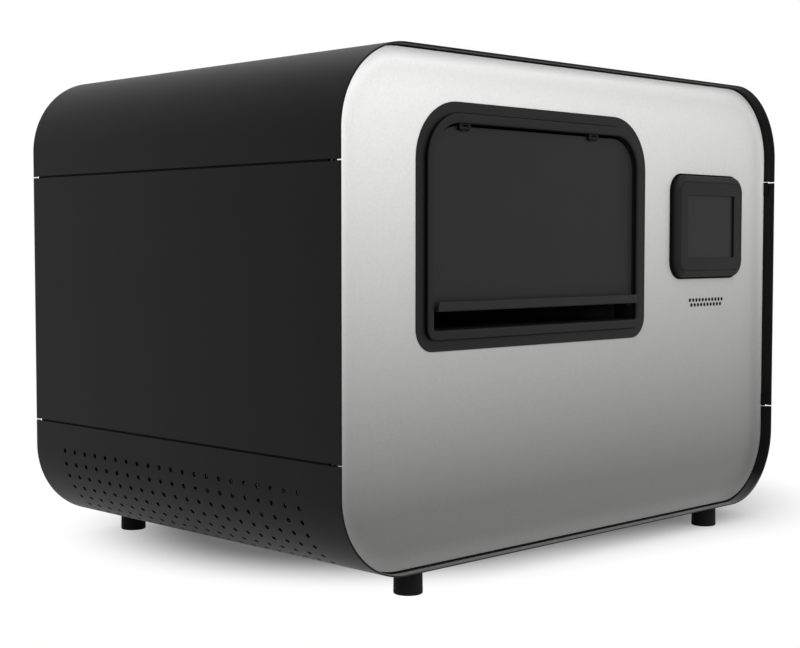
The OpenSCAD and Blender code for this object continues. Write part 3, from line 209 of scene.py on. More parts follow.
def rounded_polygon(points, radii, steps=6):
    """Closed polygon with its corners rounded: each corner becomes an arc of its radius that touches both of
    its edges, centred on the bisector at radius / sin(half the corner's angle)."""
    p = np.asarray(points, float)
    r = np.broadcast_to(np.asarray(radii, float), len(p))[:, None]
    back, ahead = unit(np.roll(p, 1, 0) - p), unit(np.roll(p, -1, 0) - p)
    bisector = back + ahead
    size = np.linalg.norm(bisector, axis=1, keepdims=True)
    r = np.where(size > 1e-6, r, 0.0)
    half = np.maximum(np.arccos(np.clip((back * ahead).sum(1, keepdims=True), -1, 1)) / 2, 1e-3)
    centre = p + bisector / np.maximum(size, 1e-6) * r / np.sin(half)
    first = p + back * r / np.tan(half) - centre
    last = p + ahead * r / np.tan(half) - centre
    start = np.arctan2(first[:, 1], first[:, 0])[:, None]
    sweep = np.arctan2(last[:, 1], last[:, 0])[:, None] - start
    sweep = (sweep + np.pi) % (2 * np.pi) - np.pi
    angle = start + sweep * np.linspace(0, 1, steps + 1)
    return (centre[:, None] + r[:, None] * directions(angle)).reshape(-1, 2)


def sides_out(line):
    """Outward directions along a closed line that runs anticlockwise: the chord between both neighbours,
    turned by a quarter to the right."""
    chord = unit(np.roll(line, -1, 0) - np.roll(line, 1, 0))
    return np.stack([chord[:, 1], -chord[:, 0]], 1)


def rounded_loop(half_w, half_h, radii, steps):
    """Rounded rectangles as points and outward normals, anticlockwise from the lower right corner: corner
    centre plus radius times (cos, sin), and the normal is (cos, sin). The half sizes may be arrays with one
    value for each rectangle. radii has one value for all or, as its last axis, one for each corner."""
    radii = np.asarray(radii, float)
    half_w, half_h = np.asarray(half_w)[..., None], np.asarray(half_h)[..., None]
    centre = np.stack([np.array([1, 1, -1, -1]) * (half_w - radii), np.array([-1, 1, 1, -1]) * (half_h - radii)], -1)
    radii = np.broadcast_to(radii, centre.shape[:-1])[..., None, None]
    normal = directions(np.radians(np.arange(4)[:, None] * 90 - 90 + np.linspace(0, 90, steps + 1)))
    line = centre[..., None, :] + radii * normal
    return line.reshape(*line.shape[:-3], -1, 2), normal.reshape(-1, 2)


def quads(rows, columns, wrap_rows=False, wrap_columns=False):
    """Faces of a grid of rows times columns vertices, row by row, as an array of four indices each."""
    i = np.arange(rows if wrap_rows else rows - 1)[:, None]
    j = np.arange(columns if wrap_columns else columns - 1)[None, :]
    a, b = i % rows * columns, (i + 1) % rows * columns
    c, d = j % columns, (j + 1) % columns
    return np.stack(np.broadcast_arrays(a + c, a + d, b + d, b + c), -1).reshape(-1, 4)


def carried(points, normals, axis, profile, outward=None, draw=None):
    """Profile carried along a path: path point + across * normal + along * axis. Where draw is given, the
    profile is drawn in there by draw times its own outward direction."""
    across = np.broadcast_to(profile[:, 0], (len(points), len(profile)))
    along = np.broadcast_to(profile[:, 1], across.shape)
    if draw is not None:
        across = across - draw[:, None] * outward[:, 0]
        along = along - draw[:, None] * outward[:, 1]
    return points[:, None] + across[..., None] * normals[:, None] + along[..., None] * np.asarray(axis, float)


def rounded_ends(start, stop, between, radius):
    """Places along a path with both ends rounded, and how far the profile is drawn in at each: at an angle t
    of the quarter circle the place is radius * (1 - sin t) from the end and the draw is radius * (1 - cos t)."""
    near, draw = (v[::-1] for v in quarter_round(radius, 4))
    return chain(start + near, between, (stop - near)[::-1]), chain(draw, 0 * between, draw[::-1])


def box_part(a, b, edge=0.3 * MM):
    """Box between two opposite corners, with chamfered edges: each corner gives three points, one on each
    face, moved in by the chamfer along the other two axes."""
    a, b = np.asarray(a, float), np.asarray(b, float)
    centre, half = (a + b) / 2, np.abs(b - a) / 2
    edge = min(edge, 0.4 * half.min())
    sign = np.array(np.meshgrid([-1, 1], [-1, 1], [-1, 1], indexing="ij")).reshape(3, 8).T
    verts = centre + sign[:, None] * (half - edge * (1 - np.eye(3))[None])
    corner = np.arange(8).reshape(2, 2, 2)
    faces = [(3 * c + np.arange(3)).tolist() for c in range(8)]
    for k in range(3):
        for s in range(2):
            face = corner.take(s, k)
            faces.append((3 * np.array([face[0, 0], face[0, 1], face[1, 1], face[1, 0]]) + k).tolist())
    for k in range(3):
        i, j = [n for n in range(3) if n != k]
        ends = np.moveaxis(corner, k, 0).reshape(2, 4)
        faces += [[3 * a + i, 3 * a + j, 3 * b + j, 3 * b + i] for a, b in ends.T.tolist()]
    return verts.reshape(-1, 3), faces


def turned(profile, centre, axis, steps):
    """Profile turned round an axis: centre + along * axis + radius * (cos t * u + sin t * v), where u and v are
    the other two axes. The profile's (radius, along) pairs start and end on the axis or form a ring."""
    axis = np.asarray(axis, float)
    k = int(np.argmax(np.abs(axis)))
    u, v = np.eye(3)[(k + 1) % 3], np.eye(3)[(k + 2) % 3]
    t = np.linspace(0, 2 * np.pi, steps, endpoint=False)[:, None, None]
    verts = (np.asarray(centre, float) + profile[None, :, 1:] * axis
             + profile[None, :, :1] * (np.cos(t) * u + np.sin(t) * v))
    return verts.reshape(-1, 3), quads(steps, len(profile), True, False).tolist()


def rod_part(centre, axis, radius, low, high, edge):
    """Round rod with rounded ends, turned from the profile (0, low), (radius, low), (radius, high), (0, high)."""
    line = rounded_polygon([(0, low), (radius, low), (radius, high), (0, high)], [0, edge, edge, 0], 3)
    return turned(line, centre, axis, 32)


def capped(grid):
    """Part of a closed profile carried along an open path, with a face at both ends."""
    n, m = grid.shape[:2]
    return grid, quads(n, m, False, True).tolist() + [list(range(m)), list(range((n - 1) * m, n * m))]


def joined(parts):
    """Vertices and faces of several parts, with the indices of each moved past those before it."""
    verts, faces, start = [], [], 0
    for points, polygons in parts:
        verts.append(points.reshape(-1, 3))
        faces += (polygons + start).tolist() if isinstance(polygons, np.ndarray) \
            else [[i + start for i in face] for face in polygons]
        start += len(verts[-1])
    return chain(*verts), faces


def cleared(blocks, name):
    """Removes the data block of that name, if there is one."""
    if name in blocks:
        blocks.remove(blocks[name])
    return name


def added(name, data):
    """Links a new object to the scene, in place of an old one of that name."""
    obj = bpy.data.objects.new(cleared(bpy.data.objects, name), data)
    bpy.context.scene.collection.objects.link(obj)
    return obj


def piece(name, nodes, parts, *materials, more=(), edge_angle=35.0, rims=False):
    """Closed mesh object made of parts, which rides on the body of the CAD nodes it stands for. The parts in more
    take the second material, and with rims the faces that look up inside the lower rim take the last one, a painted
    highlight."""
    verts, faces = joined([*parts, *more])
    mesh = bpy.data.meshes.new(name)
    mesh.from_pydata(verts.tolist(), [], faces)
    first = sum(len(polygons) for _, polygons in parts)
    mesh.polygons.foreach_set("material_index", (np.arange(len(faces)) >= first).astype(np.int32))
    bm = bmesh.new()
    bm.from_mesh(mesh)
    bmesh.ops.remove_doubles(bm, verts=bm.verts, dist=2e-6)
    bmesh.ops.dissolve_degenerate(bm, dist=1e-7, edges=bm.edges)
    bmesh.ops.recalc_face_normals(bm, faces=bm.faces)
    bmesh.ops.triangulate(bm, faces=[f for f in bm.faces if len(f.verts) > 12], ngon_method="EAR_CLIP")
    bm.to_mesh(mesh)
    bm.free()
    if rims:
        mark_lit_rims(mesh, len(materials) - 1)
    return dressed(name, nodes, mesh, materials, edge_angle)


def mark_lit_rims(mesh, slot):
    """Gives the faces of the first slot beyond the end panels that look up from the lower rim the slot of a painted
    highlight.
    """
    faces = len(mesh.polygons)
    centre, normal, slots = np.empty((faces, 3)), np.empty((faces, 3)), np.empty(faces, np.int32)
    for name, values in (("center", centre), ("normal", normal), ("material_index", slots)):
        mesh.polygons.foreach_get(name, values.ravel())
    beyond = (centre[:, 1] < PANEL_LOW.y) | (centre[:, 1] > REAR_HIGH.y)
    upward = normal[:, 2] > 0.3
    slots[upward & beyond & (slots == 0)] = slot
    mesh.polygons.foreach_set("material_index", slots)


def dressed(name, nodes, mesh, materials, edge_angle, bevel=0.0):
    """Puts a mesh into the scene with smooth shading, its materials, body and finishing modifiers, and looks up the
    record's slot of its first node without keeping it.
    """
    for material in materials:
        mesh.materials.append(material)
    mesh.polygons.foreach_set("use_smooth", np.ones(len(mesh.polygons), bool))
    obj = added(name, mesh)
    if bevel:
        rounding = obj.modifiers.new("rounded edges", "BEVEL")
        rounding.width = bevel
        rounding.segments = 2
        rounding.limit_method = "ANGLE"
        rounding.angle_limit = np.radians(edge_angle)
        rounding.harden_normals = True
    else:
        mesh.set_sharp_from_angle(angle=np.radians(edge_angle))
        obj.modifiers.new("flat faces", "WEIGHTED_NORMAL").keep_sharp = True
    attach(obj, NODES[nodes[0]]["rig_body"])
    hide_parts(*nodes)
    slot_of(nodes[0])
    return obj


def slot_of(node):
    """The record's material slot of a CAD node."""
    return next(part["material_slot"] for part in frame["record"]["subparts"] if part["node"] == node)


def softened(node, material, width):
    """Copy of a CAD node with doubles merged, flat faces joined and its edges rounded by a bevel."""
    name = node + "_dressed"
    mesh = NODES[node].data.copy()
    mesh.name = name
    mesh.materials.clear()
    if "custom_normal" in mesh.attributes:
        mesh.attributes.remove(mesh.attributes["custom_normal"])
    bm = bmesh.new()
    bm.from_mesh(mesh)
    bmesh.ops.remove_doubles(bm, verts=bm.verts, dist=5e-6)
    bmesh.ops.dissolve_limit(bm, angle_limit=np.radians(0.6), verts=bm.verts, edges=bm.edges)
    for edge in bm.edges:
        edge.smooth = True
    bm.to_mesh(mesh)
    bm.free()
    return dressed(name, [node], mesh, [material], 35.0, width * MM)


def coat(material, *nodes):
    """Gives CAD nodes that keep their own mesh a material."""
    for node in nodes:
        NODES[node].material_slots[0].material = material


# Materials

def add_node(tree, kind, inputs=None, **settings):
    """New shader node with its settings. Each of the inputs takes a value or a link."""
    node = tree.nodes.new("ShaderNode" + kind)
    for key, value in settings.items():
        setattr(node, key, value)
    for key, value in (inputs or {}).items():
        if isinstance(value, bpy.types.NodeSocket):
            tree.links.new(value, node.inputs[key])
        else:
            node.inputs[key].default_value = value
    return node


class Finish:
    """A new material with its Principled shader and short ways to add texture nodes on Object coordinates."""

    def __init__(self, name, base, roughness, metallic=0.0, **sockets):
        self.material = bpy.data.materials.new(cleared(bpy.data.materials, name))
        self.material.use_nodes = True
        self.tree = self.material.node_tree
        self.shader = self.tree.nodes["Principled BSDF"]
        self.base = tuple(base)
        self.set("Base Color", (*base, 1.0))
        self.set("Roughness", roughness)
        self.set("Metallic", metallic)
        for socket, value in sockets.items():
            self.set(socket.replace("_", " "), value)
        self.material.diffuse_color = (*base, 1.0)

    def set(self, socket, value):
        self.shader.inputs[socket].default_value = value

    def link(self, value, socket):
        """Links a value to one of the shader's inputs."""
        self.tree.links.new(value, self.shader.inputs[socket])

    def add(self, kind, inputs=None, **settings):
        return add_node(self.tree, kind, inputs, **settings)

    def here(self):
        return self.add("TexCoord").outputs["Object"]

    def axes(self):
        """The Object coordinates, by axis."""
        return self.add("SeparateXYZ", {"Vector": self.here()}).outputs

    def place(self, stretch=(1, 1, 1)):
        """Object coordinates, stretched along the axes."""
        return self.add("Mapping", {"Vector": self.here(), "Scale": stretch}).outputs["Vector"]

    def noise(self, scale, detail=2.0, stretch=(1, 1, 1), roughness=0.5):
        return self.add("TexNoise", {"Vector": self.place(stretch), "Scale": scale, "Detail": detail,
                                     "Roughness": roughness}).outputs["Fac"]

    def cells(self, scale, output="Distance"):
        return self.add("TexVoronoi", {"Vector": self.place(), "Scale": scale}).outputs[output]

    def near_edge(self, place, low, high, radius, width):
        """0 inside and 1 at the edge of an upright rounded rectangle, over a width: the distance from the
        rectangle that is smaller by the radius on all sides, less the radius."""
        away = []
        for axis, a, b in (("X", low.x, high.x), ("Z", low.z, high.z)):
            off = self.math("ABSOLUTE", self.math("SUBTRACT", place[axis], (a + b) / 2))
            away.append(self.math("MAXIMUM", self.math("SUBTRACT", off, (b - a) / 2 - radius)))
        near = self.span(self.distance(*away), 0, 1, radius - width, radius)
        return self.math("MULTIPLY", near, near)

    def math(self, operation, a, b=0.0):
        return self.add("Math", {0: a, 1: b}, operation=operation).outputs[0]

    def distance(self, a, b):
        """Square root of the sum of both squares."""
        return self.math("SQRT", self.math("ADD", self.math("MULTIPLY", a, a), self.math("MULTIPLY", b, b)))

    def hole_shade_rows(self, place, holes):
        """1 within the radius of the painted shade round a sound hole: 11 holes in the upper row and 10 between them
        below. The distance across is that from the nearest hole of the row, out to the row's end."""
        total, pitch, soft = 0.0, holes.hole_pitch, 0.1 * MM
        across = self.math("ABSOLUTE", self.math("SUBTRACT", place["X"], holes.holes_x))
        for row, count in ((0.5, 11), (-0.5, 10)):
            step = self.math("MODULO", self.math("ADD", across, pitch / 2 * (count % 2)), pitch)
            up = self.math("SUBTRACT", place["Z"], holes.holes_z + row * holes.hole_row)
            away = self.distance(self.math("SUBTRACT", step, pitch / 2), up)
            near = self.span(away, 1, 0, holes.hole_shade_radius - soft, holes.hole_shade_radius + soft)
            inside = self.math("LESS_THAN", across, pitch * count / 2)
            total = self.math("ADD", total, self.math("MULTIPLY", inside, near))
        return total

    def span(self, value, low, high, start=0.3, stop=0.7):
        """Value moved from start..stop to low..high."""
        return self.add("MapRange", {"Value": value, "From Min": start, "From Max": stop, "To Min": low,
                                     "To Max": high}).outputs["Result"]

    def mixed(self, factor, first, second, blend="MIX"):
        """Mixes two colours or sockets."""
        first, second = (v if isinstance(v, bpy.types.NodeSocket) else (*v, 1.0) for v in (first, second))
        return self.add("Mix", {0: factor, 6: first, 7: second}, data_type="RGBA", blend_type=blend,
                        clamp_result=True).outputs[2]

    def paint(self, socket):
        self.link(socket, "Base Color")

    def tone(self, value, first, second):
        """Mixes two colours by a value into the base colour."""
        colour = self.mixed(value, first, second)
        self.paint(colour)
        return colour

    def vary(self, value, spread=0.1):
        """Base colour a little darker and lighter, by a value."""
        dark = tuple(c * (1 - spread) for c in self.base)
        light = tuple(min(1.0, c * (1 + spread)) for c in self.base)
        return self.tone(value, dark, light)

    def rough(self, value, low, high, start=0.3, stop=0.7):
        self.link(self.span(value, low, high, start, stop), "Roughness")

    def shaded(self, tone, other, axis, rise, fall=None):
        """Turns the tone into another colour between two places along an axis, and back between two more."""
        place = self.axes()[axis]
        amount = self.span(place, 0, 1, *rise)
        if fall:
            amount = self.math("SUBTRACT", amount, self.span(place, 0, 1, *fall))
        self.paint(self.mixed(amount, tone, other))

    def bump(self, *heights):
        """Bumps from (height, distance in millimetres) pairs, one on the other."""
        normal = None
        for height, distance in heights:
            inputs = {"Height": height, "Strength": 1.0, "Distance": distance * MM}
            if normal:
                inputs["Normal"] = normal
            normal = self.add("Bump", inputs).outputs["Normal"]
        self.link(normal, "Normal")

    def grained(self, tone, spread, grain, low, high, depth, *bumps):
        """Slow noise varies the base colour, and a fine grain the roughness and the last of the bumps."""
        tone = self.vary(self.span(tone, 0, 1), spread)
        self.rough(grain, low, high)
        self.bump(*bumps, (grain, depth))
        return tone


def powder_coat(name, base, roughness):
    """Powder coat: fine orange peel under a fine grain, with slight changes of tone and gloss."""
    f = Finish(name, base, roughness, Specular_IOR_Level=0.095)
    f.grained(f.noise(14, 3), 0.07, f.noise(1500, 2), roughness - 0.04, roughness + 0.05, 0.006,
              (f.noise(330, 1), 0.012))
    return f.material


def lit_rim_coat(name, base, paint, roughness, fade):
    """Painted highlight inside the lower rim: a lighter copy of the shell's paint under a clear coat, with faint
    orange peel, on the faces that look up. Between the two heights of fade it gives way to the shell's matt paint."""
    f = Finish(name, base, roughness, Coat_Roughness=0.12)
    f.shaded(f.vary(f.span(f.noise(30, 2), 0, 1), 0.05), paint, "Z", fade)
    height = f.axes()["Z"]
    f.link(f.span(height, 1, 0, *fade), "Coat Weight")
    f.link(f.span(height, 0.5, 0.095, *fade), "Specular IOR Level")
    f.rough(height, roughness, 0.5, *fade)
    f.bump((f.noise(330, 1), 0.008))
    return f.material


def moulded_plastic(name, base, roughness, specular=0.12, grain=1700, depth=0.006, shade=None):
    """Moulded plastic with the fine spark-eroded grain of its tool. With shade, a painted shade turns its tone into
    another colour along an axis.
    """
    f = Finish(name, base, roughness, Specular_IOR_Level=specular)
    tone = f.grained(f.noise(25, 2), 0.05, f.noise(grain, 3, roughness=0.6), roughness - 0.05, roughness + 0.05,
                     depth)
    if shade:
        f.shaded(tone, *shade)
    return f.material


def satin_silver(name, left, right, low, edge, roughness, corner, holes):
    """Satin silver on the front face of a dark sheet, with a fine grain. Its tone is painted reflection and shade: it
    falls from the upper left corner to the lower edge and a little to the right, and a painted highlight lifts it
    along its rim, where the recess throws shade. Cut edges, the back and a disc round each sound hole stay dark,
    which also paints the shade inside the holes."""
    f = Finish(name, left, roughness, 0.12, Specular_IOR_Level=0.3)
    place = f.axes()
    # Painted reflection and shade: along the top the tone falls from left to right, and by height it falls to the
    # lower colour.
    top = f.mixed(f.span(place["X"], 0, 1, PANEL_LOW.x, PANEL_HIGH.x), left, right)
    fade_low, fade_high = PANEL_LOW.z + 55 * MM, PANEL_HIGH.z - 40 * MM
    shade = f.mixed(f.span(place["Z"], 0, 1, fade_low, fade_high), low, top)
    grain = f.noise(560, 3, (1.0, 1.0, 0.8), 0.65)
    face = f.mixed(1.0, shade, f.span(grain, 0.95, 1.05), "MULTIPLY")
    # Painted highlight: within 24 mm of the rim the tone is lifted up to 1.8 times, standing in for light where the
    # recess throws shade.
    rim_width, painted_rim_highlight = 24 * MM, (1.8, 1.8, 1.8)
    face = f.mixed(f.near_edge(place, PANEL_LOW, PANEL_HIGH, corner, rim_width), face, painted_rim_highlight, "MULTIPLY")
    # Painted shade: dark discs round the sound holes.
    face = f.mixed(f.hole_shade_rows(place, holes), face, edge)
    # Cut edges and the back take the dark colour; in the bores of the sound holes this is painted shade.
    skin, behind = PANEL_LOW.y + 0.05 * MM, PANEL_LOW.y + 0.15 * MM
    f.paint(f.mixed(f.span(place["Y"], 0, 1, skin, behind), face, edge))
    f.rough(grain, roughness - 0.03, roughness + 0.03)
    f.bump((grain, 0.003))
    return f.material


def rubber(name, base):
    f = Finish(name, base, 0.72, Specular_IOR_Level=0.12)
    f.grained(f.noise(40, 2), 0.15, f.noise(700, 3), 0.66, 0.8, 0.02)
    return f.material


def ground_metal(name, base, roughness, stretch=(1, 30, 30)):
    """Ground or turned metal: fine scratches along one axis, with slight changes of tone."""
    f = Finish(name, base, roughness, 1.0)
    f.grained(f.noise(20, 3), 0.08, f.noise(90, 4, stretch, 0.7), roughness - 0.08, roughness + 0.1, 0.004)
    return f.material


def zinc_sheet(name, base):
    """Zinc-plated sheet: soft spangle of flat crystals that differ in tone and gloss."""
    f = Finish(name, base, 0.42, 1.0)
    spangle = f.add("SeparateColor", {"Color": f.cells(130, "Color")}).outputs["Red"]
    f.vary(f.span(spangle, 0, 1, 0, 1), 0.08)
    f.rough(spangle, 0.36, 0.5, 0, 1)
    f.bump((f.noise(260, 2), 0.006))
    return f.material


def sintered_bronze(name, base):
    f = Finish(name, base, 0.38, 1.0)
    pores = f.cells(900)
    f.vary(f.span(f.noise(60, 3), 0, 1), 0.12)
    f.rough(pores, 0.5, 0.32, 0.05, 0.4)
    f.bump((pores, 0.02))
    return f.material


def solder_mask(name, base):
    """Green solder mask over copper tracks: the tracks are the thin lines of a brick pattern, seen as raised,
    paler lines, on the plane of the upright boards."""
    f = Finish(name, base, 0.28, Specular_IOR_Level=0.5)
    flat = f.add("Mapping", {"Vector": f.here(), "Rotation": (0, np.pi / 2, 0)})
    tracks = f.add("TexBrick", {"Vector": flat.outputs["Vector"], "Scale": 60.0, "Mortar Size": 0.012,
                                "Mortar Smooth": 0.2, "Brick Width": 0.9, "Row Height": 0.16},
                   offset=0.37, offset_frequency=3, squash=0.6, squash_frequency=2).outputs["Fac"]
    f.tone(tracks, base, tuple(min(1.0, 2.1 * c) for c in base))
    f.bump((tracks, 0.03))
    return f.material


def wound_coil(name, copper, steel, z_low, z_high):
    """Solenoids: turns of lacquered wire between steel end plates, by height."""
    f = Finish(name, copper, 0.35, 0.9)
    away = f.math("ABSOLUTE", f.math("SUBTRACT", f.span(f.axes()["Z"], 0, 1, z_low, z_high), 0.5))
    f.tone(f.span(away, 0, 1, 0.40, 0.42), copper, steel)
    turns = f.add("TexWave", {"Vector": f.place(), "Scale": 560.0, "Distortion": 0.3}, bands_direction="Z")
    f.bump((turns.outputs["Fac"], 0.08))
    return f.material


def dark_glass(name, base):
    """Glass of a display that is off: a clear coat over a dark sheet with a very fine anti-glare grain."""
    f = Finish(name, base, 0.3, Specular_IOR_Level=0.12)
    f.grained(f.noise(18, 1), 0.03, f.noise(2600, 1), 0.26, 0.34, 0.002)
    return f.material


def finishes():
    """All materials, made once from the settings and kept by name."""
    if MATERIALS:
        return MATERIALS
    scene = bpy.context.scene
    shell, window, display = scene.embosser_shell, scene.embosser_window, scene.embosser_display
    panel, front = scene.embosser_panel, PANEL_LOW.y
    rim_highlight_fade = TRAY_LOW.z + 4 * MM, TRAY_LOW.z + 34 * MM
    # Painted shade: the window bezel's walls between these depths, round its groove and raised rim, turn near black.
    groove_shade_from, groove_shade_to = (front - 4.9 * MM, front - 4.2 * MM), (front - 1.45 * MM, front - 1.3 * MM)
    # Painted shade: the display bezel turns darker towards its left side, which faces away from the light.
    left_side_shade = DISPLAY_LOW.x + 12 * MM, DISPLAY_LOW.x + 6 * MM
    MATERIALS.update({
        "shell": powder_coat("shell_paint", shell.paint, shell.gloss),
        # Painted highlight: a lighter, glossier copy of the shell paint on the faces inside the lower rim that look
        # up.
        "rim": lit_rim_coat("rim_painted_highlight", (0.020, 0.020, 0.020), shell.paint, 0.22, rim_highlight_fade),
        # Painted shade: the lips behind the seams and the rounds, bores and inner rings of the air holes take this
        # near black, standing in for the shade in seams and holes; the stacker tray takes it as well.
        "primer_and_painted_shade": powder_coat("dark_primer_and_painted_shade", (0.0035, 0.0035, 0.0036), 0.7),
        "tray": powder_coat("tray_paint", (0.011, 0.011, 0.012), 0.5),
        "motor": moulded_plastic("motor_enamel", (0.010, 0.010, 0.011), 0.35, 0.5, 600, 0.01),
        "silver": satin_silver("satin_silver", panel.painted_light_upper_left, panel.painted_light_upper_right, panel.painted_shade_lower,
                               panel.dark_edge_and_hole_shade, panel.roughness, shell.corner - shell.sheet, panel),
        # Painted shade in the bezel's groove and on its rim's outer wall.
        "bezel": moulded_plastic("bezel_plastic", window.bezel_colour, 0.5,
                                 shade=((0.002, 0.002, 0.002), "Y", groove_shade_from, groove_shade_to)),
        "flap": moulded_plastic("flap_plastic", window.flap_colour, 0.5, 0.12, 2200, 0.004),
        # Painted shade on the display bezel's left side and slope.
        "display": moulded_plastic("display_plastic", display.bezel_colour, 0.46,
                                   shade=((0.0045, 0.0045, 0.0046), "X", left_side_shade)),
        # Darker than the flap; partly painted shade of the slot that the hinges sit in.
        "hinge": powder_coat("hinge_enamel_and_slot_shade", (0.0085, 0.0085, 0.0087), 0.6),
        "gasket": powder_coat("gasket", (0.0012, 0.0012, 0.0012), 0.9),
        "screen": dark_glass("screen_glass", display.screen_colour),
        "plastic": moulded_plastic("black_plastic", (0.014, 0.014, 0.0145), 0.48, 0.4),
        "wheel": moulded_plastic("grey_plastic", (0.035, 0.038, 0.042), 0.42, 0.5),
        "rubber": rubber("rubber", (0.0045, 0.0045, 0.0045)),
        "steel": ground_metal("bright_steel", (0.56, 0.57, 0.58), 0.28),
        "ground": ground_metal("ground_steel", (0.50, 0.51, 0.52), 0.24, (30, 1, 30)),
        "turned": ground_metal("turned_aluminium", (0.66, 0.67, 0.68), 0.3, (30, 1, 1)),
        "zinc": zinc_sheet("zinc_sheet", (0.47, 0.49, 0.50)),
        "bronze": sintered_bronze("sintered_bronze", (0.50, 0.33, 0.13)),
        "board": solder_mask("solder_mask", (0.012, 0.075, 0.030)),
    })
    low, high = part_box("solenoid_bank")
    MATERIALS["coil"] = wound_coil("wound_coil", (0.30, 0.12, 0.045), (0.42, 0.42, 0.43), low.z + 3 * MM,
                                   high.z - 11 * MM)
    return MATERIALS


MATERIALS = {}


# Shell

def shell_line(s, half_w, radius):
    """The shell's wall as a line of arc length s from the middle of its flat side: flat up to half_w - radius,
    then a quarter circle (radius * sin, radius * (1 - cos)), then straight up. Gives x, height over the flat
    side and the outward normal."""
    flat = half_w - radius
    side = np.sign(s)
    d = np.abs(s)
    angle = np.clip((d - flat) / radius, 0, np.pi / 2)
    x = side * (np.minimum(d, flat) + radius * np.sin(angle))
    h = radius * (1 - np.cos(angle)) + np.maximum(d - flat - radius * np.pi / 2, 0)
    return x, h, side * np.sin(angle), -np.cos(angle)


def hemmed_section(y0, y1, sheet, hem, hem_length, between=()):
    """Section of a sheet whose two ends are folded: outer side from y0 to y1 at 0, inner side at -sheet, and
    -hem along the folds, each closed by a half circle of half the hem. Gives the closed ring of points, their
    outward directions and the number of points on the outer side."""
    r, step = hem / 2, hem - sheet
    k = np.linspace(0, np.pi / 2, 5)
    sin, cos = np.sin(k), np.cos(k)
    middle = chain([y0 + hem_length, y0 + hem_length + step], between, [y1 - hem_length - step, y1 - hem_length])
    even = np.zeros(len(middle))
    depth = even - sheet
    depth[[0, -1]] = -hem
    along = chain(y0 + r - r * cos, middle, y1 - r + r * cos[::-1])
    turn, lean = chain(sin, even + 1, sin[::-1]), chain(-cos, even, cos[::-1])
    outer = np.stack([r * turn - r, along], 1)
    inner = np.stack([chain(-r - r * sin, depth, -r - r * sin[::-1]), along], 1)[-2:0:-1]
    ways = chain(np.stack([turn, lean], 1), np.stack([-turn, lean], 1)[-2:0:-1])
    return chain(outer, inner), ways, len(outer)


def sheet_part(shell, points, normals, draw, y0, y1, between=()):
    """A hemmed section carried along a path in X and Z. Both ends are closed by the strips between its outer
    and inner sides, and their folds swell along the path by the bulge."""
    section, ways, outer = hemmed_section(y0, y1, shell.sheet, shell.hem, shell.hem_length, between)
    grid = carried(points, normals, (0, 1, 0), section, ways, draw)
    step = shell.hem - shell.sheet
    from_end = np.minimum(section[:, 1] - y0, y1 - section[:, 1])
    fold = np.clip((shell.hem_length + step - from_end) / step, 0, 1)[:, None]
    for ends, way in ((slice(0, 4), points[0] - points[4]), (slice(-4, None), points[-1] - points[-5])):
        grid[ends] += shell.hem_bulge * fold * way / np.linalg.norm(way)
    rows, columns = grid.shape[:2]
    i, last = np.arange(1, outer - 2), (rows - 1) * columns
    strips = np.stack([i, i + 1, columns - i - 1, columns - i], 1)
    ends = np.array([[0, 1, columns - 1], [outer - 2, outer - 1, outer]])
    faces = chain(quads(rows, columns, False, True), strips, strips + last).tolist()
    return grid, faces + chain(ends, ends + last).tolist()


def seam_gain(shell):
    """How far the paint on each cut edge narrows a seam."""
    return (shell.seam - shell.painted_seam) / 2


def shell_points(s, shell, top):
    """Path points and normals of the wall, for the tray, or upside down for the cover."""
    x, h, nx, nz = shell_line(s, TRAY_HIGH.x, shell.corner)
    zero = np.zeros(len(s))
    if top:
        return np.stack([x, zero, COVER_HIGH.z - h], 1), np.stack([nx, zero, -nz], 1)
    return np.stack([x, zero, TRAY_LOW.z + h], 1), np.stack([nx, zero, nz], 1)


def wall_places(shell, rise, between):
    """Places along the wall from one seam over the flat side to the other, with rounded cut edges."""
    flat = TRAY_HIGH.x - shell.corner
    stop = flat + shell.corner * (np.pi / 2 - 1) + rise + seam_gain(shell)
    return rounded_ends(-stop, stop, between, shell.cut_edge)


def build_cover(shell):
    """Cover: the wall from seam to seam over the top, with a folded stiffening rib under its flat side."""
    flat = TRAY_HIGH.x - shell.corner
    arc = flat + shell.corner * np.linspace(0, np.pi / 2, 29)
    s, draw = wall_places(shell, COVER_HIGH.z - COVER_LOW.z, chain(-arc[::-1], arc))
    parts = [sheet_part(shell, *shell_points(s, shell, True), draw, COVER_LOW.y, COVER_HIGH.y)]
    rib = rounded_polygon([(-120, 0.3), (-120, -10), (-90, -10), (-90, 0.3), (-91.5, 0.3), (-91.5, -8.5),
                           (-118.5, -8.5), (-118.5, 0.3)], [0, 1.8, 1.8, 0, 0, 0.5, 0.5, 0], 4)[:, ::-1] * MM
    half, under = flat - 20 * MM, COVER_HIGH.z - shell.sheet
    ends = np.array([[-half, 0, under], [half, 0, under]])
    parts.append(capped(carried(ends, np.array([[0, 0, 1.0]] * 2), (0, 1, 0), rib)))
    return piece("cover_sheet", ["top_cover"], parts, finishes()["shell"])


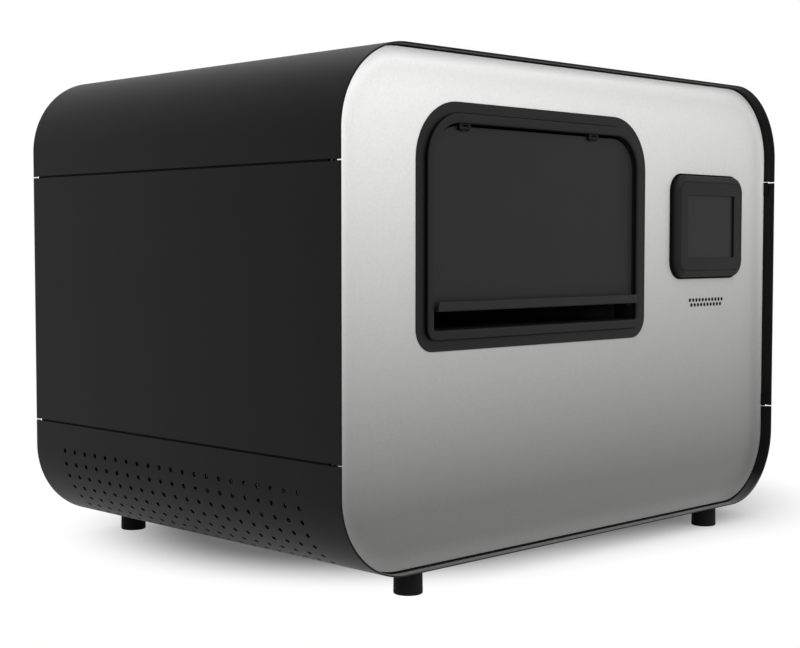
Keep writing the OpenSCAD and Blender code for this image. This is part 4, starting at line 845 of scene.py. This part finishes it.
def build_side(shell, side):
    """Side sheet with its folded rims, inner flanges and the lap lips behind both seams."""
    node = "right_side_panel" if side > 0 else "left_side_panel"
    x = SIDE_HIGH.x
    grow = seam_gain(shell)
    low, high = TRAY_HIGH.z + shell.seam - grow, COVER_LOW.z - shell.seam + grow
    z, draw = rounded_ends(low, high, np.array([]), shell.cut_edge)
    zero = np.zeros(len(z))
    points = np.stack([zero + side * x, zero, z], 1)
    normals = np.stack([zero + side, zero, zero], 1)
    painted = [sheet_part(shell, points, normals, draw, SIDE_LOW.y, SIDE_HIGH.y)]
    lip, thick, clear, lap = shell.hem + 0.3 * MM, 1.5 * MM, 0.3 * MM, 0.2 * MM
    hem_end, wall = shell.hem_length + 0.5 * MM, x - shell.sheet + lap
    spans = [(SIDE_LOW.y + hem_end, PANEL_LOW.y - clear),
             (PANEL_HIGH.y + shell.sheet + clear, REAR_LOW.y - shell.sheet - clear),
             (REAR_HIGH.y + clear, SIDE_HIGH.y - hem_end)]
    flange = x - 20 * MM
    boxes = [((flange, y, low + lap), (wall, y + shell.sheet, high - lap))
             for y in (PANEL_HIGH.y, REAR_LOW.y - shell.sheet)]
    for edge, up in ((low, -1), (high, 1)):
        for y0, y1 in spans:
            reach = 0.7 * shell.painted_seam if side > 0 and y1 < PANEL_LOW.y else 13 * MM - grow
            foot, tip, joint = edge - up * 15 * MM, edge + up * reach, edge - up * 3 * MM
            boxes.append(((x - lip - thick, y0, foot), (x - lip, y1, tip)))
            boxes.append(((x - lip - lap, y0, foot), (wall, y1, joint)))
    # Painted shade: the lips take the near black, so the seams show dark.
    lips = [box_part(*(np.array(pair) * [side, 1, 1])) for pair in boxes]
    m = finishes()
    return piece(node + "_sheet", [node], painted, m["shell"], m["primer_and_painted_shade"], more=lips)


def vent_cells(shell, rows, columns):
    """Squares of the tray with a hole in the middle. Each is five rings of twelve points on the wall: the
    square's edge, the painted round of the hole, its bore at both faces, and the square's edge inside. Gives
    the outer rings and the inner ones as two parts."""
    cell_s, cell_y = shell.corner * np.radians(10), shell.vent_pitch
    t = np.array([-1, -1 / 3, 1 / 3]) / 2
    a, b = np.stack([0 * t + 0.5, t], 1), np.stack([-t, 0 * t + 0.5], 1)
    edge = chain(a, b, -a, -b) * [cell_s, cell_y]
    circle = directions(np.radians(np.arange(12) * 30 - 45))
    r, c = shell.vent_diameter / 2, 0.2 * MM
    rings = np.stack([edge, circle * (r + c), circle * r, circle * r, edge])
    depth = np.array([0, 0, -c, -shell.sheet, -shell.sheet])[:, None]
    s = rings[None, None, ..., 0] + rows[:, None, None, None]
    y = rings[None, None, ..., 1] + columns[None, :, None, None]
    s, y = np.broadcast_arrays(s, y)
    points, normals = shell_points(s.ravel(), shell, False)
    verts = points + np.broadcast_to(depth, s.shape).reshape(-1, 1) * normals
    verts[:, 1] = y.ravel()
    cells = len(rows) * len(columns)
    faces = quads(5, 12, False, True)[None] + 60 * np.arange(cells)[:, None, None]
    return (verts, faces[:, :12].reshape(-1, 4)), (verts, faces[:, 12:].reshape(-1, 4))


def build_tray(shell):
    """Tray with rounded lower edges: a hemmed section carried from seam to seam, whose squares in the vent
    field are left out and filled by squares with a hole."""
    flat, r = TRAY_HIGH.x - shell.corner, shell.corner
    rows = flat + r * np.radians(88.5 - 10.0 * np.arange(shell.vent_rows))
    columns = (np.arange(shell.vent_columns) - (shell.vent_columns - 1) / 2) * shell.vent_pitch
    cell = r * np.radians(10)
    band = rows.min() - cell / 2 + cell / 3 * np.arange(3 * shell.vent_rows + 1)
    rise = TRAY_HIGH.z - TRAY_LOW.z
    stop = flat + r * (np.pi / 2 - 1) + rise
    half = chain(flat * np.array([0.25, 0.5, 0.75, 1.0]), [flat + r * np.radians(1.75)], band,
                 [(band[-1] + stop) / 2])
    path = chain(-half[::-1], [0.0], half)
    s, draw = wall_places(shell, rise, path)
    field = columns.min() - shell.vent_pitch / 2 + shell.vent_pitch / 3 * np.arange(3 * shell.vent_columns + 1)
    grid, faces = sheet_part(shell, *shell_points(s, shell, False), draw, TRAY_LOW.y, TRAY_HIGH.y,
                             chain([PANEL_LOW.y], field, [REAR_HIGH.y]))
    wall = np.array([f for f in faces if len(f) == 4])
    row = wall // grid.shape[1]
    place, y = np.abs(s[row].mean(1)), grid.reshape(-1, 3)[wall].mean(1)[:, 1]
    inside = (place > band[0]) & (place < band[-1]) & (y > field[0]) & (y < field[-1]) & (row.min(1) != row.max(1))
    parts, bores = [(grid, wall[~inside].tolist() + [f for f in faces if len(f) != 4])], []
    # Painted shade: the rounds and bores of the air holes take the near black, so the holes show dark.
    for side in (-1, 1):
        outside, bore = vent_cells(shell, side * rows, columns)
        parts.append(outside)
        bores.append(bore)
    near, far = -shell.sheet + 0.2 * MM, -20 * MM
    flange = rounded_polygon([(near, 0), (far, 0), (far, shell.sheet), (near, shell.sheet)], 0.3 * MM, 2)
    points, normals = shell_points(chain([-stop + 0.2 * MM], path, [stop - 0.2 * MM]), shell, False)
    for y in (PANEL_HIGH.y, REAR_LOW.y - shell.sheet):
        parts.append(capped(carried(points + [0, y, 0], normals, (0, 1, 0), flange)))
    m = finishes()
    # The faces inside the lower rim that look up take the painted highlight.
    return piece("tray_sheet", ["bottom_tray"], parts, m["shell"], m["primer_and_painted_shade"], m["rim"], more=bores, rims=True)


# Window

def on_front(x, z):
    """Makes a function that puts local points, x right, y up and z to the front, on the front panel."""
    def put(points):
        p = np.asarray(points, float)
        return np.stack([x + p[..., 0], PANEL_LOW.y - p[..., 2], z + p[..., 1]], -1)
    return put


def front_ring(put, line, normals, profile):
    """Profile carried round a closed line on the front panel: across is away from the line's middle, along is
    to the front."""
    grid = put(carried(level(line), level(normals), (0, 0, 1), profile))
    return grid, quads(len(line), len(profile), True, True)


def window_centre(window):
    across = window.rim_width + window.groove + window.flange
    half_w = (BEZEL_HIGH.x - BEZEL_LOW.x) / 2 - across
    half_h = (BEZEL_HIGH.z - BEZEL_LOW.z) / 2 - across
    return (BEZEL_LOW.x + BEZEL_HIGH.x) / 2, (BEZEL_LOW.z + BEZEL_HIGH.z) / 2, half_w, half_h


def build_bezel(window):
    """Window bezel: a moulded section with a sleeve, a raised rim, a groove and a flat flange, carried round
    the opening."""
    x, z, half_w, half_h = window_centre(window)
    rim, high = window.rim_width, window.rim_height
    flat, t = rim + window.groove, window.flange_thickness
    outer, sleeve, wall, back = flat + window.flange, -26 * MM, 3 * MM, -0.02 * MM
    section = rounded_polygon(
        [(0, sleeve), (wall, sleeve), (wall, back), (outer, back), (outer, t), (flat, t), (flat, t / 2), (rim, t / 2),
         (rim, high), (0, high)], np.array([0.6, 0.6, 0, 0, 0.8, 0.3, 0.15, 0.15, 1.5, 3.0]) * MM, 5)
    low, top = window.lower_radius, window.upper_radius
    parts = [front_ring(on_front(x, z), *rounded_loop(half_w, half_h, (low, top, top, low), 20), section)]
    for side in (-1, 1):
        stud = x + side * half_w, PANEL_LOW.y + 5.8 * MM, z - 86.7 * MM
        parts.append(rod_part(stud, (-side, 0, 0), 3 * MM, -1 * MM, 3 * MM, 0.8 * MM))
    return piece("window_bezel_moulding", ["window_bezel"], parts, finishes()["bezel"], edge_angle=32.0)


def build_flap(window):
    """Flap: a plate with rounded upper corners and edges, a finger lip with a round bend along its lower edge,
    whose tip comes down in a quarter circle at both ends, and two knuckles above."""
    x, z, half_w, half_h = window_centre(window)
    put = on_front(x, z)
    half, top, low = half_w - 1 * MM, half_h - 2.6 * MM, -half_h + 18.3 * MM
    front, thick, edge, round_top = -0.5 * MM, 2 * MM, 0.4 * MM, 36.3
    back, hinge, axis_y, axis_z = front - thick, np.array([-120.5, 89.5]) * MM, top - 1.5 * MM, 1.0 * MM
    notch, notch_low = 8.4 * MM, axis_y - 2.4 * MM
    corners, radii = [(-half, low), (half, low), (half, top)], [0.3, 0.3, round_top]
    for h in hinge[::-1]:
        corners += [(h + notch, top), (h + notch, notch_low), (h - notch, notch_low), (h - notch, top)]
        radii += [0.6, 0.5, 0.5, 0.6]
    line = rounded_polygon([*corners, (-half, top)], np.array([*radii, round_top]) * MM, 14)
    line = line[np.linalg.norm(line - np.roll(line, 1, 0), axis=1) > 1e-7]
    sink, inset = quarter_round(edge, 4)
    section = np.stack([-chain(sink, inset), chain(front - inset, back + sink)], 1)
    grid = put(carried(level(line), level(sides_out(line)), (0, 0, 1), section))
    n, m = grid.shape[:2]
    parts = [(grid, quads(n, m, True, False).tolist() + [list(range(i, n * m, m)) for i in (0, m - 1)])]
    tip, out, inside = low + window.lip_height, front + window.lip_out, low + thick
    section = rounded_polygon(
        [(low, back), (low, out), (tip, out), (tip, out - thick), (inside, out - thick), (inside, back)],
        np.array([0.1, 2.5, 0.7, 0.7, 0.7, 0.1]) * MM, 6)
    lifted = (section[:, 0] > tip - 1 * MM).astype(float)
    ways = -sides_out(section)
    bend, soft = 3 * MM, 0.3 * MM
    fall, near = quarter_round(bend, 9)
    start, draws = (v[:0:-1] for v in quarter_round(soft, 4))
    place = half - 1 * MM - chain(start, soft + near)
    place = chain(-place, place[::-1])
    drops, draws = (chain(v, v[::-1])[:, None] for v in (chain(0 * start + bend, fall), chain(draws, 0 * fall)))
    y, depth = section[:, 0] - drops * lifted - draws * ways[:, 0], section[:, 1] - draws * ways[:, 1]
    parts.append(capped(put(np.stack(np.broadcast_arrays(place[:, None], y, depth), -1))))
    knuckles, wide = [], 4 * MM
    for h in hinge:
        centre = put((h, axis_y, axis_z))
        knuckles.append(rod_part(centre, (1, 0, 0), 2 * MM, -wide, wide, 0.3 * MM))
        knuckles.append(box_part(*put([(h - wide, axis_y - 3.4 * MM, back), (h + wide, axis_y, axis_z)])))
    m = finishes()
    return piece("window_flap_moulding", ["window_flap"], parts, m["flap"], m["hinge"], more=knuckles,
                 edge_angle=32.0)


# Display

def build_display(display):
    """Display bezel: rounded rectangles whose half sizes, radius and height change along the section, joined
    ring by ring, from the panel up the side, over the slope and the face, and down into the screen's recess."""
    x, z = (DISPLAY_LOW.x + DISPLAY_HIGH.x) / 2, (DISPLAY_LOW.z + DISPLAY_HIGH.z) / 2
    half_w, half_h = (DISPLAY_HIGH.x - DISPLAY_LOW.x) / 2, (DISPLAY_HIGH.z - DISPLAY_LOW.z) / 2
    rise = PANEL_LOW.y - DISPLAY_LOW.y
    bevel, radius, lap = display.bevel, display.radius, display.gasket
    base, inner, groove = -1 * MM, bevel + 3 * MM, rise - 0.9 * MM
    outer = rounded_polygon(
        [(-20 * MM, base), (lap, base), (lap, rise - display.drop), (bevel, rise), (bevel + 0.5 * MM, rise),
         (bevel + 0.6 * MM, groove), (bevel + 1.5 * MM, groove), (bevel + 1.6 * MM, rise), (inner, rise),
         (inner, base)], np.array([0, 0, 4.0, 4.0, 0.15, 0.1, 0.1, 0.15, 0, 0]) * MM, 6)
    start, stop = (np.argmin(np.abs(outer - corner).sum(1)) for corner in ([lap, base], [inner, rise]))
    inset, height = outer[start:stop + 1].T.copy()
    height[0] = 0.02 * MM
    screen, recess, pocket = np.array([(display.screen_width / 2, display.screen_height / 2),
                                       (53 * MM, 41.5 * MM), (56 * MM, 44.5 * MM)])
    deep, back, sharp = rise - 2.5 * MM, -14 * MM, 0.8 * MM
    rim, sink = quarter_round(0.5 * MM, 4)
    half = chain([half_w, half_h] - inset[:, None], screen + rim[:, None], [screen, recess, recess, pocket, pocket])
    corner = chain(np.maximum(radius - inset, 1 * MM), sharp + rim, np.full(5, sharp))
    height = chain(height, rise - sink, [deep, deep, back, back, height[0]])
    steps, put = 12, on_front(x, z)
    rings = np.pad(rounded_loop(*half.T, corner[:, None], steps)[0], ((0, 0), (0, 0), (0, 1)))
    rings[..., 2] = height[:, None]
    section = rounded_polygon([(-6, 0.02), (0, 0.02), (0, 1.1), (-6, 1.1)], [0, 0, 0.4, 0], 3) * MM
    gasket = front_ring(put, *rounded_loop(half_w, half_h, radius, steps), section)
    m = finishes()
    return piece("display_moulding", ["display_bezel"], [(put(rings), quads(*rings.shape[:2], True, True))],
                 m["display"], m["gasket"], more=[gasket], edge_angle=32.0)


def build_feet():
    """Rubber feet, turned: a tapered side with a rounded lower edge and a recess for the screw's washer below."""
    low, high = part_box("feet")
    line = rounded_polygon(
        [(0, 3.0), (8.5, 3.0), (8.5, 0.0), (15.0, 0.0), (14.5, 25.0), (0, 25.0)],
        [0, 0.6, 0.8, 1.6, 0.5, 0], 4) * MM
    places = [(sx * (high.x - 15 * MM), y) for sx in (-1, 1) for y in (low.y + 15 * MM, high.y - 15 * MM)]
    parts = [turned(line, (px, py, 0), (0, 0, 1), 56) for px, py in places]
    return piece("rubber_feet", ["feet"], parts, finishes()["rubber"])


# Stage

def build_stage(stage):
    scene = bpy.context.scene
    camera = bpy.data.cameras.new("view")
    camera.lens = stage.lens
    camera.sensor_width = 36
    camera.sensor_fit = "HORIZONTAL"
    camera.clip_end = 200
    view = added("view", camera)
    view.location = stage.camera_at
    view.rotation_euler = stage.camera_turn
    scene.camera = view
    scene.view_settings.view_transform = "Standard"
    mesh = bpy.data.meshes.new("floor")
    side = 60.0
    mesh.from_pydata([(-side, -side, 0), (side, -side, 0), (side, side, 0), (-side, side, 0)], [], [(0, 1, 2, 3)])
    mesh.materials.append(floor_material(stage))
    floor = added("floor", mesh)
    lamp("top lamp", (0.2, 0.35, 2.3), (0.1, 0.3, 0.5), (1.8, 0.9), stage.top)
    lamp("upper lamp", (-0.1, -1.5, 1.95), (0, -0.27, 0.3), (2.6, 1.6), stage.key)
    lamp("front lamp", (0.2, -2.0, 0.9), (0, -0.25, 0.35), (2.2, 1.4), stage.front)
    room_light(stage)


def lamp(name, place, aim, size, power):
    """Soft lamp that lights the object and isn't seen itself."""
    data = bpy.data.lights.new(name, "AREA")
    data.shape = "RECTANGLE"
    data.size, data.size_y = size
    data.energy = power
    obj = added(name, data)
    obj.location = place
    obj.rotation_euler = (Vector(aim) - Vector(place)).to_track_quat("-Z", "Y").to_euler()
    obj.visible_camera = False


def seen_directly(tree):
    """1 for camera, glossy and transmission rays, and 0 for the others."""
    rays, total = add_node(tree, "LightPath").outputs, 0.0
    for name in ("Is Camera Ray", "Is Glossy Ray", "Is Transmission Ray"):
        total = add_node(tree, "Math", {0: total, 1: rays[name]}, operation="MAXIMUM").outputs[0]
    return total


def room_light(stage):
    """Even light from all sides. Seen directly, the room is white."""
    world = bpy.data.worlds.new("room")
    world.use_nodes = True
    tree = world.node_tree
    background = tree.nodes["Background"]
    background.inputs["Color"].default_value = (1, 1, 1, 1)
    power = add_node(tree, "MapRange", {"Value": seen_directly(tree), "To Min": stage.ambient, "To Max": 1.0})
    tree.links.new(power.outputs["Result"], background.inputs["Strength"])
    bpy.context.scene.world = world


def floor_material(stage):
    """Plain white floor. Away from the object it fades into the white of the room."""
    f = Finish("floor", stage.floor_colour, 0.9, Specular_IOR_Level=0.0)
    place = f.add("VectorMath", {0: f.here(), 1: stage.shadow_at}, operation="SUBTRACT").outputs[0]
    place = f.add("VectorRotate", {"Vector": place, "Angle": -stage.shadow_turn}, rotation_type="Z_AXIS").outputs[0]
    for operation, value in (("ABSOLUTE", 0), ("SUBTRACT", stage.shadow_half), ("MAXIMUM", 0), ("LENGTH", 0)):
        step = f.add("VectorMath", {0: place, 1: (value, 0, 0)}, operation=operation)
        place = step.outputs[0]
    far = f.add("MapRange", {"Value": step.outputs[1], "From Min": stage.shadow_start,
                             "From Max": stage.shadow_start + stage.shadow_fade, "To Min": stage.lift},
                interpolation_type="SMOOTHSTEP").outputs["Result"]
    white = f.add("MixShader", {0: f.math("MULTIPLY", far, seen_directly(f.tree)), 1: f.shader.outputs["BSDF"],
                                2: f.add("Emission").outputs["Emission"]}).outputs["Shader"]
    f.tree.links.new(white, f.tree.nodes["Material Output"].inputs["Surface"])
    return f.material


class EMBOSSER_OT_stage(bpy.types.Operator):
    """Camera, floor, lamps and room light"""
    bl_idname = "embosser.stage"
    bl_label = "Stage"

    def execute(self, context):
        build_stage(context.scene.embosser_stage)
        return {"FINISHED"}


class EMBOSSER_OT_cover(bpy.types.Operator):
    """Powder-coated cover with folded rims"""
    bl_idname = "embosser.cover"
    bl_label = "Cover"

    def execute(self, context):
        build_cover(context.scene.embosser_shell)
        return {"FINISHED"}


class EMBOSSER_OT_sides(bpy.types.Operator):
    """Two side sheets with the lips behind their seams"""
    bl_idname = "embosser.sides"
    bl_label = "Side sheets"

    def execute(self, context):
        for side in (-1, 1):
            build_side(context.scene.embosser_shell, side)
        return {"FINISHED"}


class EMBOSSER_OT_tray(bpy.types.Operator):
    """Tray with rounded lower edges and air holes"""
    bl_idname = "embosser.tray"
    bl_label = "Tray"

    def execute(self, context):
        build_tray(context.scene.embosser_shell)
        return {"FINISHED"}


class EMBOSSER_OT_window(bpy.types.Operator):
    """Bezel of the paper window and its flap"""
    bl_idname = "embosser.window"
    bl_label = "Window and flap"

    def execute(self, context):
        build_bezel(context.scene.embosser_window)
        build_flap(context.scene.embosser_window)
        return {"FINISHED"}


class EMBOSSER_OT_display(bpy.types.Operator):
    """Display bezel and screen"""
    bl_idname = "embosser.display"
    bl_label = "Display"

    def execute(self, context):
        build_display(context.scene.embosser_display)
        coat(finishes()["screen"], "display_screen")
        return {"FINISHED"}


class EMBOSSER_OT_feet(bpy.types.Operator):
    """Rubber feet"""
    bl_idname = "embosser.feet"
    bl_label = "Feet"

    def execute(self, context):
        build_feet()
        return {"FINISHED"}


class EMBOSSER_OT_panels(bpy.types.Operator):
    """Silver front panel and painted rear panel"""
    bl_idname = "embosser.panels"
    bl_label = "End panels"

    def execute(self, context):
        m = finishes()
        coat(m["silver"], "front_panel")
        softened("rear_panel", m["shell"], 0.4)
        return {"FINISHED"}


class EMBOSSER_OT_works(bpy.types.Operator):
    """Frames, paper feed, braille unit, cutter, drive and electronics"""
    bl_idname = "embosser.works"
    bl_label = "Working parts"

    def execute(self, context):
        m = finishes()
        for finish, width, nodes in WORKS:
            for node in nodes.split():
                if width:
                    softened(node, m[finish], width)
                else:
                    coat(m[finish], node)
        return {"FINISHED"}


# Finish, rounding of the edges in millimetres or 0 for the node's own mesh, and the nodes
WORKS = (
    ("zinc", 0.5, "base_plate left_frame right_frame inlet_table cutter_bed power_supply"),
    ("ground", 0.5, "die_bar pin_guide cutter_guides cutter_bridge"),
    ("ground", 0.2, "cutter_blade"),
    ("steel", 0, "feed_shaft exit_roller pinch_roller emboss_pins cover_hinge_pins"),
    ("hinge", 0.2, "flap_hinge_brackets"),
    ("hinge", 0, "flap_hinge_pins"),
    ("steel", 0.4, "tie_bars panel_screws foot_screws"),
    ("steel", 0, "fan_guard"),
    ("turned", 0.2, "motor_pulley feed_pulley exit_pulley"),
    ("bronze", 0.4, "feed_bushes roller_bushes"),
    ("primer_and_painted_shade", 0.4, "stacker_tray"),
    ("tray", 0.4, "cover_hinge_leaves cover_hinge_lid_leaves"),
    ("motor", 0.6, "feed_motor"),
    ("plastic", 0.3, "speaker feed_knob feed_lid_left feed_lid_right fan_frame mains_inlet"
     " power_switch switch_rocker"),
    ("plastic", 0.2, "fan_rotor"),
    ("wheel", 0.2, "pin_wheels"),
    ("rubber", 0, "cover_bumpers exit_tyres timing_belt"),
    ("board", 0, "main_board driver_board display_board"),
    ("coil", 0, "solenoid_bank"),
    ("zinc", 0.2, "data_ports"),
)


class EMBOSSER_PT_panel(bpy.types.Panel):
    """Sizes and colours of the embosser, and the steps that build it"""
    bl_label = "Braille embosser"
    bl_space_type = "VIEW_3D"
    bl_region_type = "UI"
    bl_category = "Embosser"

    def draw(self, context):
        for operator in OPERATORS:
            self.layout.operator(operator.bl_idname)
        for name in SETTINGS:
            group = getattr(context.scene, name)
            box = self.layout.box()
            for prop in group.bl_rna.properties:
                if prop.identifier not in ("rna_type", "name"):
                    box.prop(group, prop.identifier)


SETTINGS = {
    "embosser_shell": ShellSettings,
    "embosser_panel": PanelSettings,
    "embosser_window": WindowSettings,
    "embosser_display": DisplaySettings,
    "embosser_stage": StageSettings,
}
OPERATORS = (EMBOSSER_OT_stage, EMBOSSER_OT_cover, EMBOSSER_OT_sides, EMBOSSER_OT_tray, EMBOSSER_OT_panels,
             EMBOSSER_OT_window, EMBOSSER_OT_display, EMBOSSER_OT_feet, EMBOSSER_OT_works)


def register():
    for cls in (*SETTINGS.values(), *OPERATORS, EMBOSSER_PT_panel):
        bpy.utils.register_class(cls)
    for name, group in SETTINGS.items():
        setattr(bpy.types.Scene, name, bpy.props.PointerProperty(type=group))


def unregister():
    for name in SETTINGS:
        delattr(bpy.types.Scene, name)
    for cls in (EMBOSSER_PT_panel, *reversed(OPERATORS), *reversed(tuple(SETTINGS.values()))):
        bpy.utils.unregister_class(cls)


def main():
    register()
    bpy.ops.embosser.stage()
    bpy.ops.embosser.cover()
    bpy.ops.embosser.sides()
    bpy.ops.embosser.tray()
    bpy.ops.embosser.panels()
    bpy.ops.embosser.window()
    bpy.ops.embosser.display()
    bpy.ops.embosser.feet()
    bpy.ops.embosser.works()


if __name__ == "__main__":
    main()
